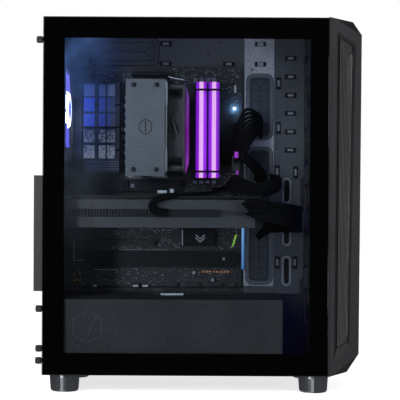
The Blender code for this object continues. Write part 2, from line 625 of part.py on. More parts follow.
cable(
    "board_power_cable",
    [(51.5, 46, 313), (51.5, 30, 313), (60, 19, 308), (74, 24, 296), (84.6, 46, 284),
     (84.6, 72, 276), (82, 86, 262), (70, 91, 230), (60, 91, 150), (56, 91, 95)],
    8.0,
    box((46.0, 57.0), (40.0, 51.7), (287, 339)),
)
cable(
    "graphics_power_cable",
    [(62, -74, 238), (74, -84, 238), (92, -80, 236), (108, -56, 231), (110, -10, 225),
     (98, 40, 212), (88, 72, 200), (90, 87, 184), (93, 91, 140), (93, 91, 95)],
    7.0,
    box((50, 66), (-78, CARD_Y[0] - GAP), (230, 246)),
)
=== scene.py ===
import math
import random

import bmesh
import bpy
from mathutils import Matrix, Vector


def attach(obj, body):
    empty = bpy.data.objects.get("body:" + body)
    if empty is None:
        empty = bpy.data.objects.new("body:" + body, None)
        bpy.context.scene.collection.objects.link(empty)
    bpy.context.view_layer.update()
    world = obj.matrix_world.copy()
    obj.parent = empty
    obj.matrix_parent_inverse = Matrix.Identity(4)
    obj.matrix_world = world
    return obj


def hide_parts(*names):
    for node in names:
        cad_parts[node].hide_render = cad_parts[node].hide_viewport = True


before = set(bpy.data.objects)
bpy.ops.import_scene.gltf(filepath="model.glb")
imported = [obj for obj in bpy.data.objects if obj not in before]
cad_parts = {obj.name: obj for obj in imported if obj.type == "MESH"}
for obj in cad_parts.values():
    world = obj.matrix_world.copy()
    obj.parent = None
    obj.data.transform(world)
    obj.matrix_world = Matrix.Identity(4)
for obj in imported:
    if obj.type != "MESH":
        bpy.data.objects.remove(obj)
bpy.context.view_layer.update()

# Lengths below are in millimetres unless a name says otherwise.
MM = 0.001
CASE = "case"

# The camera looks square on to the glass side.
view = bpy.data.cameras.new("view")
camera = bpy.data.objects.new("view", view)
bpy.context.scene.collection.objects.link(camera)
bpy.context.scene.camera = camera
camera.location = (0.023, -2.008, 0.2338)
camera.rotation_euler = (math.radians(90), math.radians(-0.3), 0)
view.sensor_width = 36.0
view.lens = 134.6
view.shift_x = -0.0375
view.shift_y = 0.025
view.clip_end = 50.0


# Shapes: each is a list of (points, faces), and lists add together.


def box(x, y, z):
    corners = [Vector((a, b, c)) for a in x for b in y for c in z]
    sides = [(0, 1, 3, 2), (4, 6, 7, 5), (0, 4, 5, 1), (2, 3, 7, 6), (0, 2, 6, 4), (1, 5, 7, 3)]
    return [(corners, sides)]


def around(middle, width):
    return (middle - width / 2, middle + width / 2)


def on_axis(axis, along, a, b):
    return Vector({"X": (along, a, b), "Y": (a, along, b), "Z": (a, b, along)}[axis])


def lofted(rings, loop=False):
    """Joins rings of points into one closed shape, capped at its ends or joined round into a loop."""
    count, last = len(rings[0]), len(rings) if loop else len(rings) - 1
    points = [point for ring in rings for point in ring]
    faces = []
    for k in range(last):
        start, over = k * count, (k + 1) % len(rings) * count
        for i in range(count):
            after = (i + 1) % count
            faces.append((start + i, start + after, over + after, over + i))
    if not loop:
        faces.append(tuple(range(count)))
        faces.append(tuple(range(len(points) - count, len(points))))
    return [(points, faces)]


def prism(axis, outline, span):
    return lofted([[on_axis(axis, along, a, b) for a, b in outline] for along in span])


def ring_prism(axis, outer, inner, span):
    """A flat plate with a hole. Both outlines have as many points."""
    order = [(outer, span[0]), (outer, span[1]), (inner, span[1]), (inner, span[0])]
    return lofted([[on_axis(axis, along, a, b) for a, b in line] for line, along in order], loop=True)


def circle(centre, radius, sides=32):
    turns = [2 * math.pi * i / sides for i in range(sides)]
    return [(centre[0] + radius * math.cos(t), centre[1] + radius * math.sin(t)) for t in turns]


def rod(axis, centre, radius, span, sides=24):
    return prism(axis, circle(centre, radius, sides), span)


def rounded(a, b, radius, steps=5):
    corners = [(a[1], b[1], 0), (a[0], b[1], 1), (a[0], b[0], 2), (a[1], b[0], 3)]
    outline = []
    for x, y, quarter in corners:
        middle = (x - radius * (1 if x == a[1] else -1), y - radius * (1 if y == b[1] else -1))
        for i in range(steps + 1):
            angle = math.pi / 2 * (i / steps + quarter)
            outline.append((middle[0] + radius * math.cos(angle), middle[1] + radius * math.sin(angle)))
    return outline


def turned(axis, centre, profile, sides=40):
    """A solid of revolution from (radius, place along the axis) pairs."""
    rings = []
    for radius, along in profile:
        rings.append([on_axis(axis, along, a, b) for a, b in circle(centre, max(radius, 0.01), sides)])
    return lofted(rings)


def curved(points, steps=6):
    """A smooth path through the points."""
    ends = [2 * Vector(points[0]) - Vector(points[1])] + [Vector(p) for p in points]
    ends.append(2 * ends[-1] - ends[-2])
    path = []
    for a, b, c, d in zip(ends, ends[1:], ends[2:], ends[3:]):
        for i in range(steps):
            t = i / steps
            path.append(0.5 * (2 * b + (c - a) * t + (2 * a - 5 * b + 4 * c - d) * t ** 2
                               + (3 * b - a - 3 * c + d) * t ** 3))
    return path + [ends[-2]]


def tube(path, radius, sides=8, offset=(0, 0)):
    """A round wire along a path, moved sideways by the offset in the path's own frame."""
    rings = []
    side = None
    for i, here in enumerate(path):
        ahead = (path[min(i + 1, len(path) - 1)] - path[max(i - 1, 0)]).normalized()
        side = side or ahead.orthogonal().normalized()
        side = (side - ahead * side.dot(ahead)).normalized()
        up = ahead.cross(side)
        middle = here + side * offset[0] + up * offset[1]
        rings.append([middle + side * a + up * b for a, b in circle((0, 0), radius, sides)])
    return lofted(rings)


def moved(shapes, matrix):
    return [([matrix @ point for point in points], faces) for points, faces in shapes]


def placed(shapes, at, turn=(0, 0, 0)):
    matrix = Matrix.Translation(Vector(at))
    for axis, angle in zip("XYZ", turn):
        matrix = matrix @ Matrix.Rotation(angle, 4, axis)
    return moved(shapes, matrix)


def mesh_of(name, parts, scale=MM):
    bm = bmesh.new()
    for index, (material, shapes) in enumerate(parts):
        for points, faces in shapes:
            verts = [bm.verts.new(point * scale) for point in points]
            for face in faces:
                made = bm.faces.new([verts[i] for i in face])
                made.material_index = index
                made.smooth = True
    bmesh.ops.recalc_face_normals(bm, faces=bm.faces)
    mesh = bpy.data.meshes.new(name)
    bm.to_mesh(mesh)
    bm.free()
    return mesh


def boolean(first, second, operation="DIFFERENCE"):
    """The first shapes cut by, or joined with, the second."""
    things = []
    for shapes in (first, second):
        thing = bpy.data.objects.new("tool", mesh_of("tool", [(None, shapes)], 1.0))
        bpy.context.scene.collection.objects.link(thing)
        things.append(thing)
    modifier = things[0].modifiers.new("cut", "BOOLEAN")
    modifier.solver = "EXACT"
    modifier.operation = operation
    modifier.object = things[1]
    bpy.context.view_layer.update()
    made = things[0].evaluated_get(bpy.context.evaluated_depsgraph_get()).to_mesh()
    result = [([v.co.copy() for v in made.vertices], [tuple(p.vertices) for p in made.polygons])]
    for thing in things:
        bpy.data.objects.remove(thing, do_unlink=True)
    return result


def hull(points):
    bm = bmesh.new()
    for point in points:
        bm.verts.new(point)
    bmesh.ops.convex_hull(bm, input=bm.verts)
    bmesh.ops.dissolve_limit(bm, angle_limit=math.radians(0.5), verts=bm.verts, edges=bm.edges)
    bm.verts.ensure_lookup_table()
    bm.verts.index_update()
    shape = ([v.co.copy() for v in bm.verts], [tuple(v.index for v in f.verts) for f in bm.faces])
    bm.free()
    return [shape]


def piece(name, body, parts, ease=0.0, stands_for=(), sharp=35):
    """One visible piece, from (material, shapes) pairs. ease rounds its edges by so many millimetres."""
    mesh = mesh_of(name, parts)
    for material, _ in parts:
        mesh.materials.append(material)
    obj = bpy.data.objects.new(name, mesh)
    bpy.context.scene.collection.objects.link(obj)
    mesh.set_sharp_from_angle(angle=math.radians(sharp))
    if ease:
        bevel = obj.modifiers.new("eased edges", "BEVEL")
        bevel.width = ease * MM
        bevel.segments = 2
        bevel.limit_method = "ANGLE"
        bevel.angle_limit = math.radians(sharp)
        bevel.harden_normals = True
    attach(obj, body)
    if stands_for:
        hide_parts(*stands_for)
    return obj


# Materials


def linear(colour):
    """An sRGB hex colour as linear light."""
    parts = [int(colour[i:i + 2], 16) / 255 for i in (1, 3, 5)]
    return (*(c / 12.92 if c <= 0.04045 else ((c + 0.055) / 1.055) ** 2.4 for c in parts), 1)


def add(material, kind, inputs=(), **settings):
    """Adds one node, with its settings, and with each input set to a value or linked to an output."""
    tree = material.node_tree
    made = tree.nodes.new("ShaderNode" + kind)
    for key, value in settings.items():
        setattr(made, key, value)
    for key, value in dict(inputs).items():
        if isinstance(value, bpy.types.NodeSocket):
            tree.links.new(value, made.inputs[key])
        else:
            made.inputs[key].default_value = value
    return made


def blank(name):
    material = bpy.data.materials.new(name)
    material.use_nodes = True
    shader = material.node_tree.nodes["Principled BSDF"]
    coords = add(material, "TexCoord").outputs["Object"]
    return material, shader, coords


def link(material, output, socket):
    material.node_tree.links.new(output, socket)


def two_tone(material, factor, dark, light, at=(0.35, 0.65)):
    ramp = add(material, "ValToRGB", {"Fac": factor})
    for element, colour, place in zip(ramp.color_ramp.elements, (dark, light), at):
        element.color = linear(colour)
        element.position = place
    return ramp.outputs["Color"]


def grained(name, dark, light, grain, rough, bump=0.02, metallic=0.0, patch=60.0, gloss=0.5):
    """A solid finish: a grain of so many millimetres in colour, roughness and height, over soft patches."""
    material, shader, coords = blank(name)
    fine = add(material, "TexNoise", {"Vector": coords, "Scale": 1 / (grain * MM), "Detail": 3.0,
                                      "Roughness": 0.6})
    broad = add(material, "TexNoise", {"Vector": coords, "Scale": 1 / (patch * MM), "Detail": 2.0})
    both = add(material, "Mix", {0: 0.2, 2: fine.outputs["Fac"], 3: broad.outputs["Fac"]})
    link(material, two_tone(material, both.outputs[0], dark, light, (0.4, 0.6)),
         shader.inputs["Base Color"])
    spread = add(material, "MapRange", {"Value": fine.outputs["Fac"], "From Min": 0.3, "From Max": 0.7,
                                        "To Min": rough[0], "To Max": rough[1]})
    link(material, spread.outputs["Result"], shader.inputs["Roughness"])
    height = add(material, "Bump", {"Height": fine.outputs["Fac"], "Distance": bump * MM, "Strength": 1.0})
    link(material, height.outputs["Normal"], shader.inputs["Normal"])
    shader.inputs["Metallic"].default_value = metallic
    shader.inputs["Specular IOR Level"].default_value = gloss
    return material


def brushed(name, dark, light, rough, streak, axis=2):
    """Metal drawn along one axis: long fine streaks."""
    material, shader, coords = blank(name)
    scale = [1 / (0.3 * MM)] * 3
    scale[axis] = 1 / (streak * MM)
    stretched = add(material, "Mapping", {"Vector": coords, "Scale": scale})
    streaks = add(material, "TexNoise", {"Vector": stretched.outputs["Vector"], "Scale": 1.0,
                                         "Detail": 3.0})
    link(material, two_tone(material, streaks.outputs["Fac"], dark, light), shader.inputs["Base Color"])
    spread = add(material, "MapRange", {"Value": streaks.outputs["Fac"], "To Min": rough[0],
                                        "To Max": rough[1]})
    link(material, spread.outputs["Result"], shader.inputs["Roughness"])
    shader.inputs["Metallic"].default_value = 1.0
    return material


def glowing(name, core, edge, strength, span, axis=2, grain=12.0, shell=("#20222a", "#3a3d48"),
            uneven_by=0.15):
    """Lit translucent plastic, or light painted onto parts that are no lamps: the glow runs from one colour
    to another along an axis, a little unevenly.
    """
    material, shader, coords = blank(name)
    place = add(material, "SeparateXYZ", {"Vector": coords}).outputs[axis]
    along = add(material, "MapRange", {"Value": place, "From Min": span[0] * MM, "From Max": span[1] * MM})
    uneven = add(material, "TexNoise", {"Vector": coords, "Scale": 1 / (grain * MM), "Detail": 1.0})
    shift = add(material, "MapRange", {"Value": uneven.outputs["Fac"], "To Min": -uneven_by,
                                       "To Max": uneven_by})
    total = add(material, "Math", {0: along.outputs["Result"], 1: shift.outputs["Result"]}, operation="ADD")
    colour = two_tone(material, total.outputs[0], core, edge, (0.0, 1.0))
    link(material, colour, shader.inputs["Emission Color"])
    shader.inputs["Emission Strength"].default_value = strength
    speck = two_tone(material, uneven.outputs["Fac"], *shell)
    link(material, speck, shader.inputs["Base Color"])
    shader.inputs["Roughness"].default_value = 0.35
    return material


def perforated(name, dark, light, pitch, hole, axes, rough=0.5, metallic=0.4):
    """Sheet punched with staggered round holes, pitch and hole in millimetres, on the plane of two axes."""
    material, shader, coords = blank(name)
    split = add(material, "SeparateXYZ", {"Vector": coords})
    wide = pitch * MM
    tall = wide * math.sqrt(3)
    a = add(material, "Math", {0: split.outputs[axes[0]], 1: wide}, operation="DIVIDE")
    b = add(material, "Math", {0: split.outputs[axes[1]], 1: tall}, operation="DIVIDE")
    cell = add(material, "CombineXYZ", {"X": a.outputs[0], "Y": b.outputs[0]})
    nearest = []
    for offset in (0.0, 0.5):
        shifted = add(material, "VectorMath", {0: cell.outputs[0], 1: (offset, offset, 0)}, operation="ADD")
        part = add(material, "VectorMath", {0: shifted.outputs[0]}, operation="FRACTION")
        centred = add(material, "VectorMath", {0: part.outputs[0], 1: (0.5, 0.5, 0)}, operation="SUBTRACT")
        scaled = add(material, "VectorMath", {0: centred.outputs[0], 1: (1, math.sqrt(3), 0)},
                     operation="MULTIPLY")
        nearest.append(add(material, "VectorMath", {0: scaled.outputs[0]},
                           operation="LENGTH").outputs["Value"])
    least = add(material, "Math", {0: nearest[0], 1: nearest[1]}, operation="MINIMUM")
    solid = add(material, "Math", {0: least.outputs[0], 1: hole / pitch / 2}, operation="GREATER_THAN")
    link(material, solid.outputs[0], shader.inputs["Alpha"])
    noise = add(material, "TexNoise", {"Vector": coords, "Scale": 1 / (0.8 * MM), "Detail": 2.0})
    link(material, two_tone(material, noise.outputs["Fac"], dark, light), shader.inputs["Base Color"])
    spread = add(material, "MapRange", {"Value": noise.outputs["Fac"], "To Min": rough - 0.1,
                                        "To Max": rough + 0.1})
    link(material, spread.outputs["Result"], shader.inputs["Roughness"])
    shader.inputs["Metallic"].default_value = metallic
    return material


def smoked_glass(name, tint):
    """Tinted toughened glass. Light passes straight through, and only the Fresnel share is mirrored."""
    material, shader, coords = blank(name)
    tree = material.node_tree
    tree.nodes.remove(shader)
    haze = add(material, "TexNoise", {"Vector": coords, "Scale": 1 / (90 * MM), "Detail": 2.0})
    through = add(material, "BsdfTransparent", {"Color": two_tone(material, haze.outputs["Fac"], *tint)})
    mirror = add(material, "BsdfGlossy", {"Roughness": 0.02})
    share = add(material, "Fresnel", {"IOR": 1.5})
    mixed = add(material, "MixShader", {0: share.outputs[0], 1: through.outputs[0], 2: mirror.outputs[0]})
    # Painted light: a cloudy blue glow on the inside of the window stands for the rear fan's light, stronger
    # towards the rear and the top
    place = add(material, "SeparateXYZ", {"Vector": coords})
    fades = [add(material, "MapRange", {"Value": place.outputs[axis], "From Min": first * MM,
                                        "From Max": last * MM},
                 interpolation_type="SMOOTHSTEP").outputs["Result"]
             for axis, first, last in (("X", -80, -172), ("X", -169.4, -168.6), ("Z", 452.4, 451.6))]
    height = add(material, "MapRange", {"Value": place.outputs["Z"], "From Min": 120 * MM,
                                        "From Max": 440 * MM}).outputs["Result"]
    fades += [height, height]
    cloud = add(material, "TexNoise", {"Vector": coords, "Scale": 1 / (38 * MM), "Detail": 3.0})
    amount = add(material, "MapRange", {"Value": cloud.outputs["Fac"], "From Min": 0.3, "From Max": 0.7,
                                        "To Min": 0.2, "To Max": 1.0}).outputs["Result"]
    for fade in fades:
        amount = add(material, "Math", {0: amount, 1: fade}, operation="MULTIPLY").outputs[0]
    level = add(material, "Math", {0: amount, 1: 0.16}, operation="MULTIPLY")
    painted_fan_haze = add(material, "Emission",
               {"Color": two_tone(material, height, "#b0c4dc", "#6e9cf4", (0.45, 0.85)),
                "Strength": level.outputs[0]})
    total = add(material, "AddShader", {0: mixed.outputs[0], 1: painted_fan_haze.outputs[0]})
    link(material, total.outputs[0], tree.nodes["Material Output"].inputs["Surface"])
    return material


def circuit_mask(name):
    """Black solder mask on fibreglass: thin tracks show as slightly lighter lines, with pin-prick vias."""
    material, shader, coords = blank(name)
    turned_in = add(material, "Mapping", {"Vector": coords, "Rotation": (math.pi / 2, 0, 0)})
    tracks = add(material, "TexBrick", {"Vector": turned_in.outputs["Vector"], "Scale": 1 / (9 * MM),
                                        "Mortar Size": 0.03, "Color1": linear("#161a1f"),
                                        "Color2": linear("#1a1f26"), "Mortar": linear("#2a3038")})
    vias = add(material, "TexVoronoi", {"Vector": coords, "Scale": 1 / (4.5 * MM)})
    dots = two_tone(material, vias.outputs["Distance"], "#5c626c", "#000000", (0.05, 0.12))
    mixed = add(material, "MixRGB", {"Fac": 1.0, "Color1": tracks.outputs["Color"], "Color2": dots},
                blend_type="ADD")
    link(material, mixed.outputs["Color"], shader.inputs["Base Color"])
    shader.inputs["Roughness"].default_value = 0.38
    return material


# Powder coat, baked on steel: a dry satin black with a fine orange-peel grain
COAT_BLACK = grained("powder coat, black", "#121316", "#1b1c20", 0.7, (0.45, 0.6))
# The same coat in grey black: coarser grains show as pale specks
COAT_TRAY = grained("powder coat, grey black", "#33373c", "#53575d", 1.6, (0.5, 0.65), 0.03, gloss=0.3)
# Powder coat painted lighter on pressed rims and bridges: a painted highlight, on a slightly glossier line
COAT_RIM_PAINTED_HIGHLIGHT = grained("powder coat, rim with painted highlight", "#6c7178", "#8b9097", 1.1, (0.4, 0.55), 0.02)
# Powder coat painted pale grey as painted light, standing in for the light that falls on this strip, with a
# sandy grain
COAT_STRIP_PAINTED_LIGHT = grained("powder coat, grey with painted light", "#7b7f84", "#aaaeb3", 1.6, (0.5, 0.65), 0.03)
# Coarse powder coat: dark specks on grey, with no sharp highlight
COAT_SHROUD = grained("powder coat, coarse grey", "#191b1e", "#2f3134", 1.5, (0.5, 0.7), 0.05, gloss=0.3)
# Silver-grey powder coat: a soft, grained grey
COAT_COOLER = grained("powder coat, silver grey", "#3a4047", "#60666e", 1.5, (0.45, 0.6), 0.04)
# Spark-textured ABS: the mould's fine pits scatter light into a soft graphite sheen
ABS_BEZEL = grained("textured abs, graphite", "#101113", "#1f2023", 1.5, (0.5, 0.65), 0.06, gloss=0.25)
# Moulded ABS: smoother than the bezel, so its edges catch the light
ABS_CARD = grained("moulded abs, card cover", "#22252a", "#30343a", 1.2, (0.4, 0.55), 0.03)
# Warm grey ABS: the ribs read brighter than the dark gaps between them
ABS_RIB = grained("moulded abs, warm grey", "#343331", "#464442", 1.0, (0.5, 0.65), 0.03, gloss=0.3)
# Plain black ABS: a low, even gloss
ABS_BLACK = grained("moulded abs, black", "#15161a", "#1e1f24", 1.2, (0.35, 0.5), 0.02)
# Metallised plastic: a blurred mirror of the room
ABS_FOOT = grained("silvered foot shell", "#7c7f86", "#8c9098", 1.2, (0.2, 0.26), 0.01, 0.95)
# Ceramic ink fired on the glass: a dense black that hides what is behind it
FRIT = grained("fired black ink", "#010101", "#020202", 0.6, (0.6, 0.7), 0.005, gloss=0.0)
# Moulded rubber: a matt grey
RUBBER = grained("moulded rubber", "#2d3238", "#3a3f47", 0.9, (0.6, 0.75), 0.03)
# The rubber's lip: painted a shade lighter where it stands proud, a painted highlight
RUBBER_LIP_PAINTED_HIGHLIGHT = grained("moulded rubber, rim with painted highlight", "#484d55", "#5a6069", 0.9, (0.55, 0.7), 0.03)
# Unlit depth seen through a slot: nearly black and dull
VOID = grained("unlit hollow", "#050608", "#090a0d", 2.0, (0.8, 0.9), 0.01)
# Braided polyester: a rough weave that breaks up the highlight
SLEEVE = grained("braided sleeve", "#040506", "#0a0c0f", 0.7, (0.6, 0.75), 0.1, gloss=0.08)
# Glossy nylon: small bright highlights on plugs
NYLON = grained("glossy nylon", "#1d1f24", "#292b31", 0.8, (0.25, 0.4), 0.02)
# Anodised fins: a slate satin
FIN_DARK = grained("anodised fin, slate", "#26292e", "#363a40", 0.6, (0.32, 0.45), 0.01, 0.5)
# Anodised aluminium, dyed dark: a satin metal sheen
ANODISED = grained("anodised aluminium, dark", "#0f1216", "#1a1e24", 0.6, (0.32, 0.45), 0.01, 0.6)
# Anodised aluminium, grey: a lighter satin metal
ANODISED_MID = grained("anodised aluminium, grey", "#4b5058", "#5d626b", 0.6, (0.32, 0.45), 0.01, 0.5)
# Rolled aluminium: long faint streaks that stretch the highlight
FIN_METAL = brushed("rolled aluminium fin", "#8d9198", "#a9adb4", (0.25, 0.45), 30, 0)
# Brushed steel: fine lines that stretch the highlight
STEEL = brushed("brushed steel", "#85888e", "#a2a5aa", (0.25, 0.45), 25, 2)
# Black zinc plate: a smoky metal gloss on screws
ZINC_BLACK = grained("black zinc plate", "#24262a", "#34363b", 0.5, (0.3, 0.45), 0.01, 0.7)
# Gold plate: a warm metal glint
COPPER_GOLD = grained("gold plate", "#a8852f", "#c9a545", 0.5, (0.25, 0.4), 0.005, 1.0)
# Tinned solder: bright grey points
SOLDER = grained("tinned solder", "#7c8086", "#a8acb2", 0.5, (0.3, 0.45), 0.01, 0.8)
# Ceramic chip body: a satin dark grey
CERAMIC = grained("ceramic chip body", "#24282e", "#363b43", 0.5, (0.4, 0.55), 0.01)
# Printed white ink: flat and chalky
SILKSCREEN = grained("printed white ink", "#9aa2ab", "#c2c9d1", 0.5, (0.5, 0.6), 0.005)
# Glass-filled nylon: a pale, dull grey
SOCKET_GREY = grained("glass-filled nylon, grey", "#596069", "#6e757f", 0.8, (0.4, 0.55), 0.02)
# Solder mask over tracks: lines show faintly under gloss
BOARD = circuit_mask("black solder mask")
# Toughened glass: a faint tint, and a mirror share that grows at a slant
GLASS = smoked_glass("smoked toughened glass", ("#f1f5f9", "#f5f8fb"))
# Punched steel: holes let the fans show between painted webs
MESH_FRONT = perforated("punched steel, painted", "#191a1d", "#232428", 2.6, 1.7, (1, 2))
# Punched filter sheet: finer holes, duller paint
MESH_TOP = perforated("punched filter sheet", "#151619", "#1e1f23", 2.4, 1.4, (0, 1), 0.6, 0.1)
# Punched grille: wide holes with thin webs
MESH_REAR = perforated("punched rear grille", "#141518", "#1c1d21", 6.0, 5.0, (1, 2), 0.5, 0.3)
# Punched backing sheet: almost black behind the ribs
MESH_RIB = perforated("punched backing sheet", "#040404", "#080807", 2.2, 1.2, (0, 2), 0.6, 0.1)
# Frosted diffuser: a pale pink glow
BAR_CORE = glowing("light bar diffuser", "#ffc0ff", "#ff98ff", 1.0, (17, 20), 1, 40)
# The diffuser's lip, drawn wider than the stick: its own purple glow, with a painted spill of light past the
# stick's sides, fading away from the core
BAR_EDGE_AND_SPILL = glowing("light bar edge and painted spill", "#b41cff", "#58089c", 1.0, (19.4, 22.4), 1, 40)
# Clear blades lit from the hub: blue to violet
BLADE_GLOW = glowing("lit fan blade", "#5c5cff", "#8a80ff", 0.9, (297, 433), 2, 30)
# The hub's light: white, with a trace of blue
HUB_GLOW = glowing("lit fan hub", "#ffffff", "#c8d8ff", 5.0, (340, 400), 2, 30)
# The hub's centre: deep blue
HUB_CORE = glowing("hub centre", "#2038ff", "#3a50ff", 1.0, (340, 400), 2, 30)
# The front fans' lit rings: a dim blue to violet
FRONT_GLOW = glowing("lit front fan ring", "#2c34c8", "#5a40d8", 0.5, (40, 470), 2, 40)
# Painted glint: purple light caught on the power lead, drawn as a thin glowing coloured edge
PURPLE_PAINTED_GLINT = glowing("painted purple glint", "#a808d8", "#c810c8", 0.75, (280, 400), 2, 14)
# The cooler fan's ring: black plastic with painted patchy purple light
RING_PAINTED_PURPLE = glowing("fan ring with painted purple light", "#9408a8", "#241058", 0.45, (300, 420), 2, 26,
                    ("#0c0a10", "#1a1420"), 0.9)
# A bare white diode: by far the brightest finish here
DIODE = glowing("white status diode", "#ffffff", "#c8e4ff", 40.0, (300, 400), 2, 10)
# Painted blue light caught on an edge, paler at one end
EDGE_PAINTED_BLUE = glowing("edge with painted blue light", "#2c68b8", "#7cc0f8", 0.8, (140, 210), 2, 20)
# Heatsink faces with painted blue light
CELL_PAINTED_BLUE = glowing("heatsink face with painted blue light", "#1c40c8", "#141e48", 0.6, (-150, -118), 0, 30,
                    ("#0c0d12", "#15171f"))
# Heatsink faces with painted broken white light
CELL_PAINTED_WHITE = glowing("heatsink face with painted pale light", "#8c98aa", "#10141c", 0.5, (300, 346), 2, 3.2,
                     ("#0c0d12", "#15171f"), 1.4)
# Printed green strokes that glow a little
MARK_GREEN = glowing("printed green mark", "#88ff60", "#d8ff60", 0.5, (180, 205), 2, 4)
# Small amber diodes: a warm, weak glow
MARK_AMBER = glowing("amber diode", "#ffb060", "#ff9040", 0.5, (140, 155), 2, 6)
# Black plastic with painted spilled blue light
TAB_PAINTED_BLUE = glowing("black plastic with painted blue light", "#101850", "#0c1234", 0.06, (120, 430), 2, 40, ("#08090d", "#0e1016"))


def dress(material, *nodes):
    """Gives CAD nodes a material."""
    for name in nodes:
        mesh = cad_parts[name].data
        mesh.materials.clear()
        mesh.materials.append(material)


dress(COAT_BLACK, "chassis_floor", "chassis_rear", "chassis_top", "chassis_front", "glass_frame",
      "right_panel", "power_supply")
dress(COAT_TRAY, "motherboard_tray")
dress(COAT_SHROUD, "psu_shroud")
dress(GLASS, "glass_pane")
dress(MESH_FRONT, "bezel_front_mesh")
dress(MESH_TOP, "top_dust_filter", "psu_dust_filter")
dress(ABS_FOOT, "foot_front_left", "foot_front_right", "foot_rear_left", "foot_rear_right")
dress(ABS_BLACK, "front_port_module", "psu_switch", "psu_fan_rotor", "graphics_fan_rear",
      "graphics_fan_front")
dress(NYLON, "power_button", "reset_button")
dress(BOARD, "motherboard", "graphics_board")
dress(ANODISED, "vrm_heatsink_rear", "vrm_heatsink_top", "chipset_heatsink", "graphics_backplate",
      "rear_port_block")
dress(ANODISED, "m2_heatsink")
dress(FIN_METAL, "cooler_tower")
dress(STEEL, "graphics_bracket")
dress(COAT_BLACK, "slot_cover")

# The glass side: the ink border is on the pane's inner face
HALF_WIDTH = 108.0
WINDOW = rounded((-169.0, 143.7), (50.8, 451.9), 2.0)
PANE = rounded((-196.3, 167.0), (23.4, 478.4), 1.0)
piece("ink_border", "glass_door",
      [(FRIT, ring_prism("Y", PANE, WINDOW, (-103.98, -103.82)))])

# The bezel: the hull of a side profile and a middle profile, which leaves sloping facets at its top and foot
SIDE = [(167.5, 480.0), (173.5, 478.6), (208.5, 456.8), (206.5, 52.0), (175.0, 25.0), (167.5, 22.0)]
MIDDLE = [(167.5, 480.0), (171.0, 480.0), (199.0, 475.5), (208.5, 456.8), (206.5, 52.0), (193.0, 27.0),
          (167.5, 22.0)]
corners = []
for sign in (-1, 1):
    corners += [Vector((x, sign * HALF_WIDTH, z)) for x, z in SIDE]
    corners += [Vector((x, sign * 90.0, z)) for x, z in MIDDLE]
shell = hull(corners)
inside = [(165.5, 474.0), (180.0, 473.0), (202.0, 452.0), (200.5, 56.0), (182.0, 31.0), (165.5, 29.0)]
shell = boolean(shell, prism("Y", inside, (-102.5, 102.5)))
front_hole = [(209.6, 62.0), (211.4, 446.0), (194.4, 446.0), (192.5, 62.0)]
shell = boolean(shell, prism("Y", front_hole, (-86.0, 86.0)))
RECESS_OUT = [(177.3, 462.4), (201.4, 445.3), (195.1, 61.1), (174.8, 40.8)]
RECESS_IN = [(180.5, 454.8), (197.0, 442.1), (191.9, 66.8), (178.6, 58.0)]
for sign in (-1, 1):
    rings = [[Vector((187 + (x - 187) * 1.01, sign * (HALF_WIDTH + 0.6), 250 + (z - 250) * 1.002))
              for x, z in RECESS_OUT]]
    rings += [[Vector((x, sign * (HALF_WIDTH - deep), z)) for x, z in RECESS_IN] for deep in (4.2, 8.0)]
    shell = boolean(shell, lofted(rings))
    # A shadow groove where the bezel meets the side panel
    groove = box((168.6, 169.4), sorted((sign * 107.4, sign * 109)), (24, 478))
    shell = boolean(shell, groove)
piece("bezel_body", "front_bezel", [(ABS_BEZEL, shell)], 0.5, ["bezel_shell"], 25)
RIBS = 8
for sign, side in ((-1, "left"), (1, "right")):
    bars = []
    for i in range(RIBS):
        t = (i + 0.5) / RIBS
        top = Vector((181.2, 0, 453.6)).lerp(Vector((196.2, 0, 442.2)), t)
        foot = Vector((179.3, 0, 59.4)).lerp(Vector((191.2, 0, 67.6)), t)
        rings = []
        for y, half in ((sign * 104.8, 0.3), (sign * 103.0, 0.48), (sign * 102.0, 0.5)):
            rings.append([Vector((end.x + dx, y, end.z))
                          for end, dx in ((foot, -half), (foot, half), (top, half), (top, -half))])
        bars += lofted(rings)
    sheet = [(180.9, 454.2), (196.5, 442.0), (191.5, 67.2), (179.0, 58.8)]
    backing = prism("Y", sheet, sorted((sign * 102.3, sign * 101.9)))
    piece(f"ribbed_insert_{side}", "front_bezel", [(ABS_RIB, bars), (MESH_RIB, backing)], 0.0,
          [f"bezel_side_mesh_{side}"])

# The fans: square flanges joined by a round duct, with the motor on four arms
FACE_FRONT = (0, math.pi / 2, 0)


def fan_body(name, size, bore, at, node, deep=25.0, look=ABS_BLACK):
    half = size / 2
    outer = rounded(around(0, size), around(0, size), 9, 7)
    inner = [(bore / 2 * math.cos(math.atan2(b, a)), bore / 2 * math.sin(math.atan2(b, a))) for a,
             b in outer]
    wall = [(a * (bore / 2 + 1.6) / (bore / 2), b * (bore / 2 + 1.6) / (bore / 2)) for a, b in inner]
    shapes = ring_prism("Z", outer, inner, (0, 3.2)) + ring_prism("Z", outer, inner, (deep - 3.2, deep))
    shapes += ring_prism("Z", wall, inner, (3.0, deep - 3.0))
    screws = []
    for x in (-1, 1):
        for y in (-1, 1):
            post = (x * (half - 7.5), y * (half - 7.5))
            shapes += rod("Z", post, 4.4, (3.0, deep - 3.0), 16)
            screws += turned("Z", post, [(0, deep + 0.2), (3.4, deep + 0.2), (3.8, deep - 0.4),
                                         (3.8, deep - 3)], 16)
    for k in range(4):
        arm = box((17, bore / 2 + 1), around(0, 4.2), (0.2, 2.8))
        shapes += placed(arm, (0, 0, 0), (0, 0, math.pi / 2 * k + 0.3))
    shapes += rod("Z", (0, 0), 20.5, (0.2, 3.0), 40)
    parts = [(look, placed(shapes, at, FACE_FRONT)), (ZINC_BLACK, placed(screws, at, FACE_FRONT))]
    return piece(name, CASE, parts, 0.4, [node])


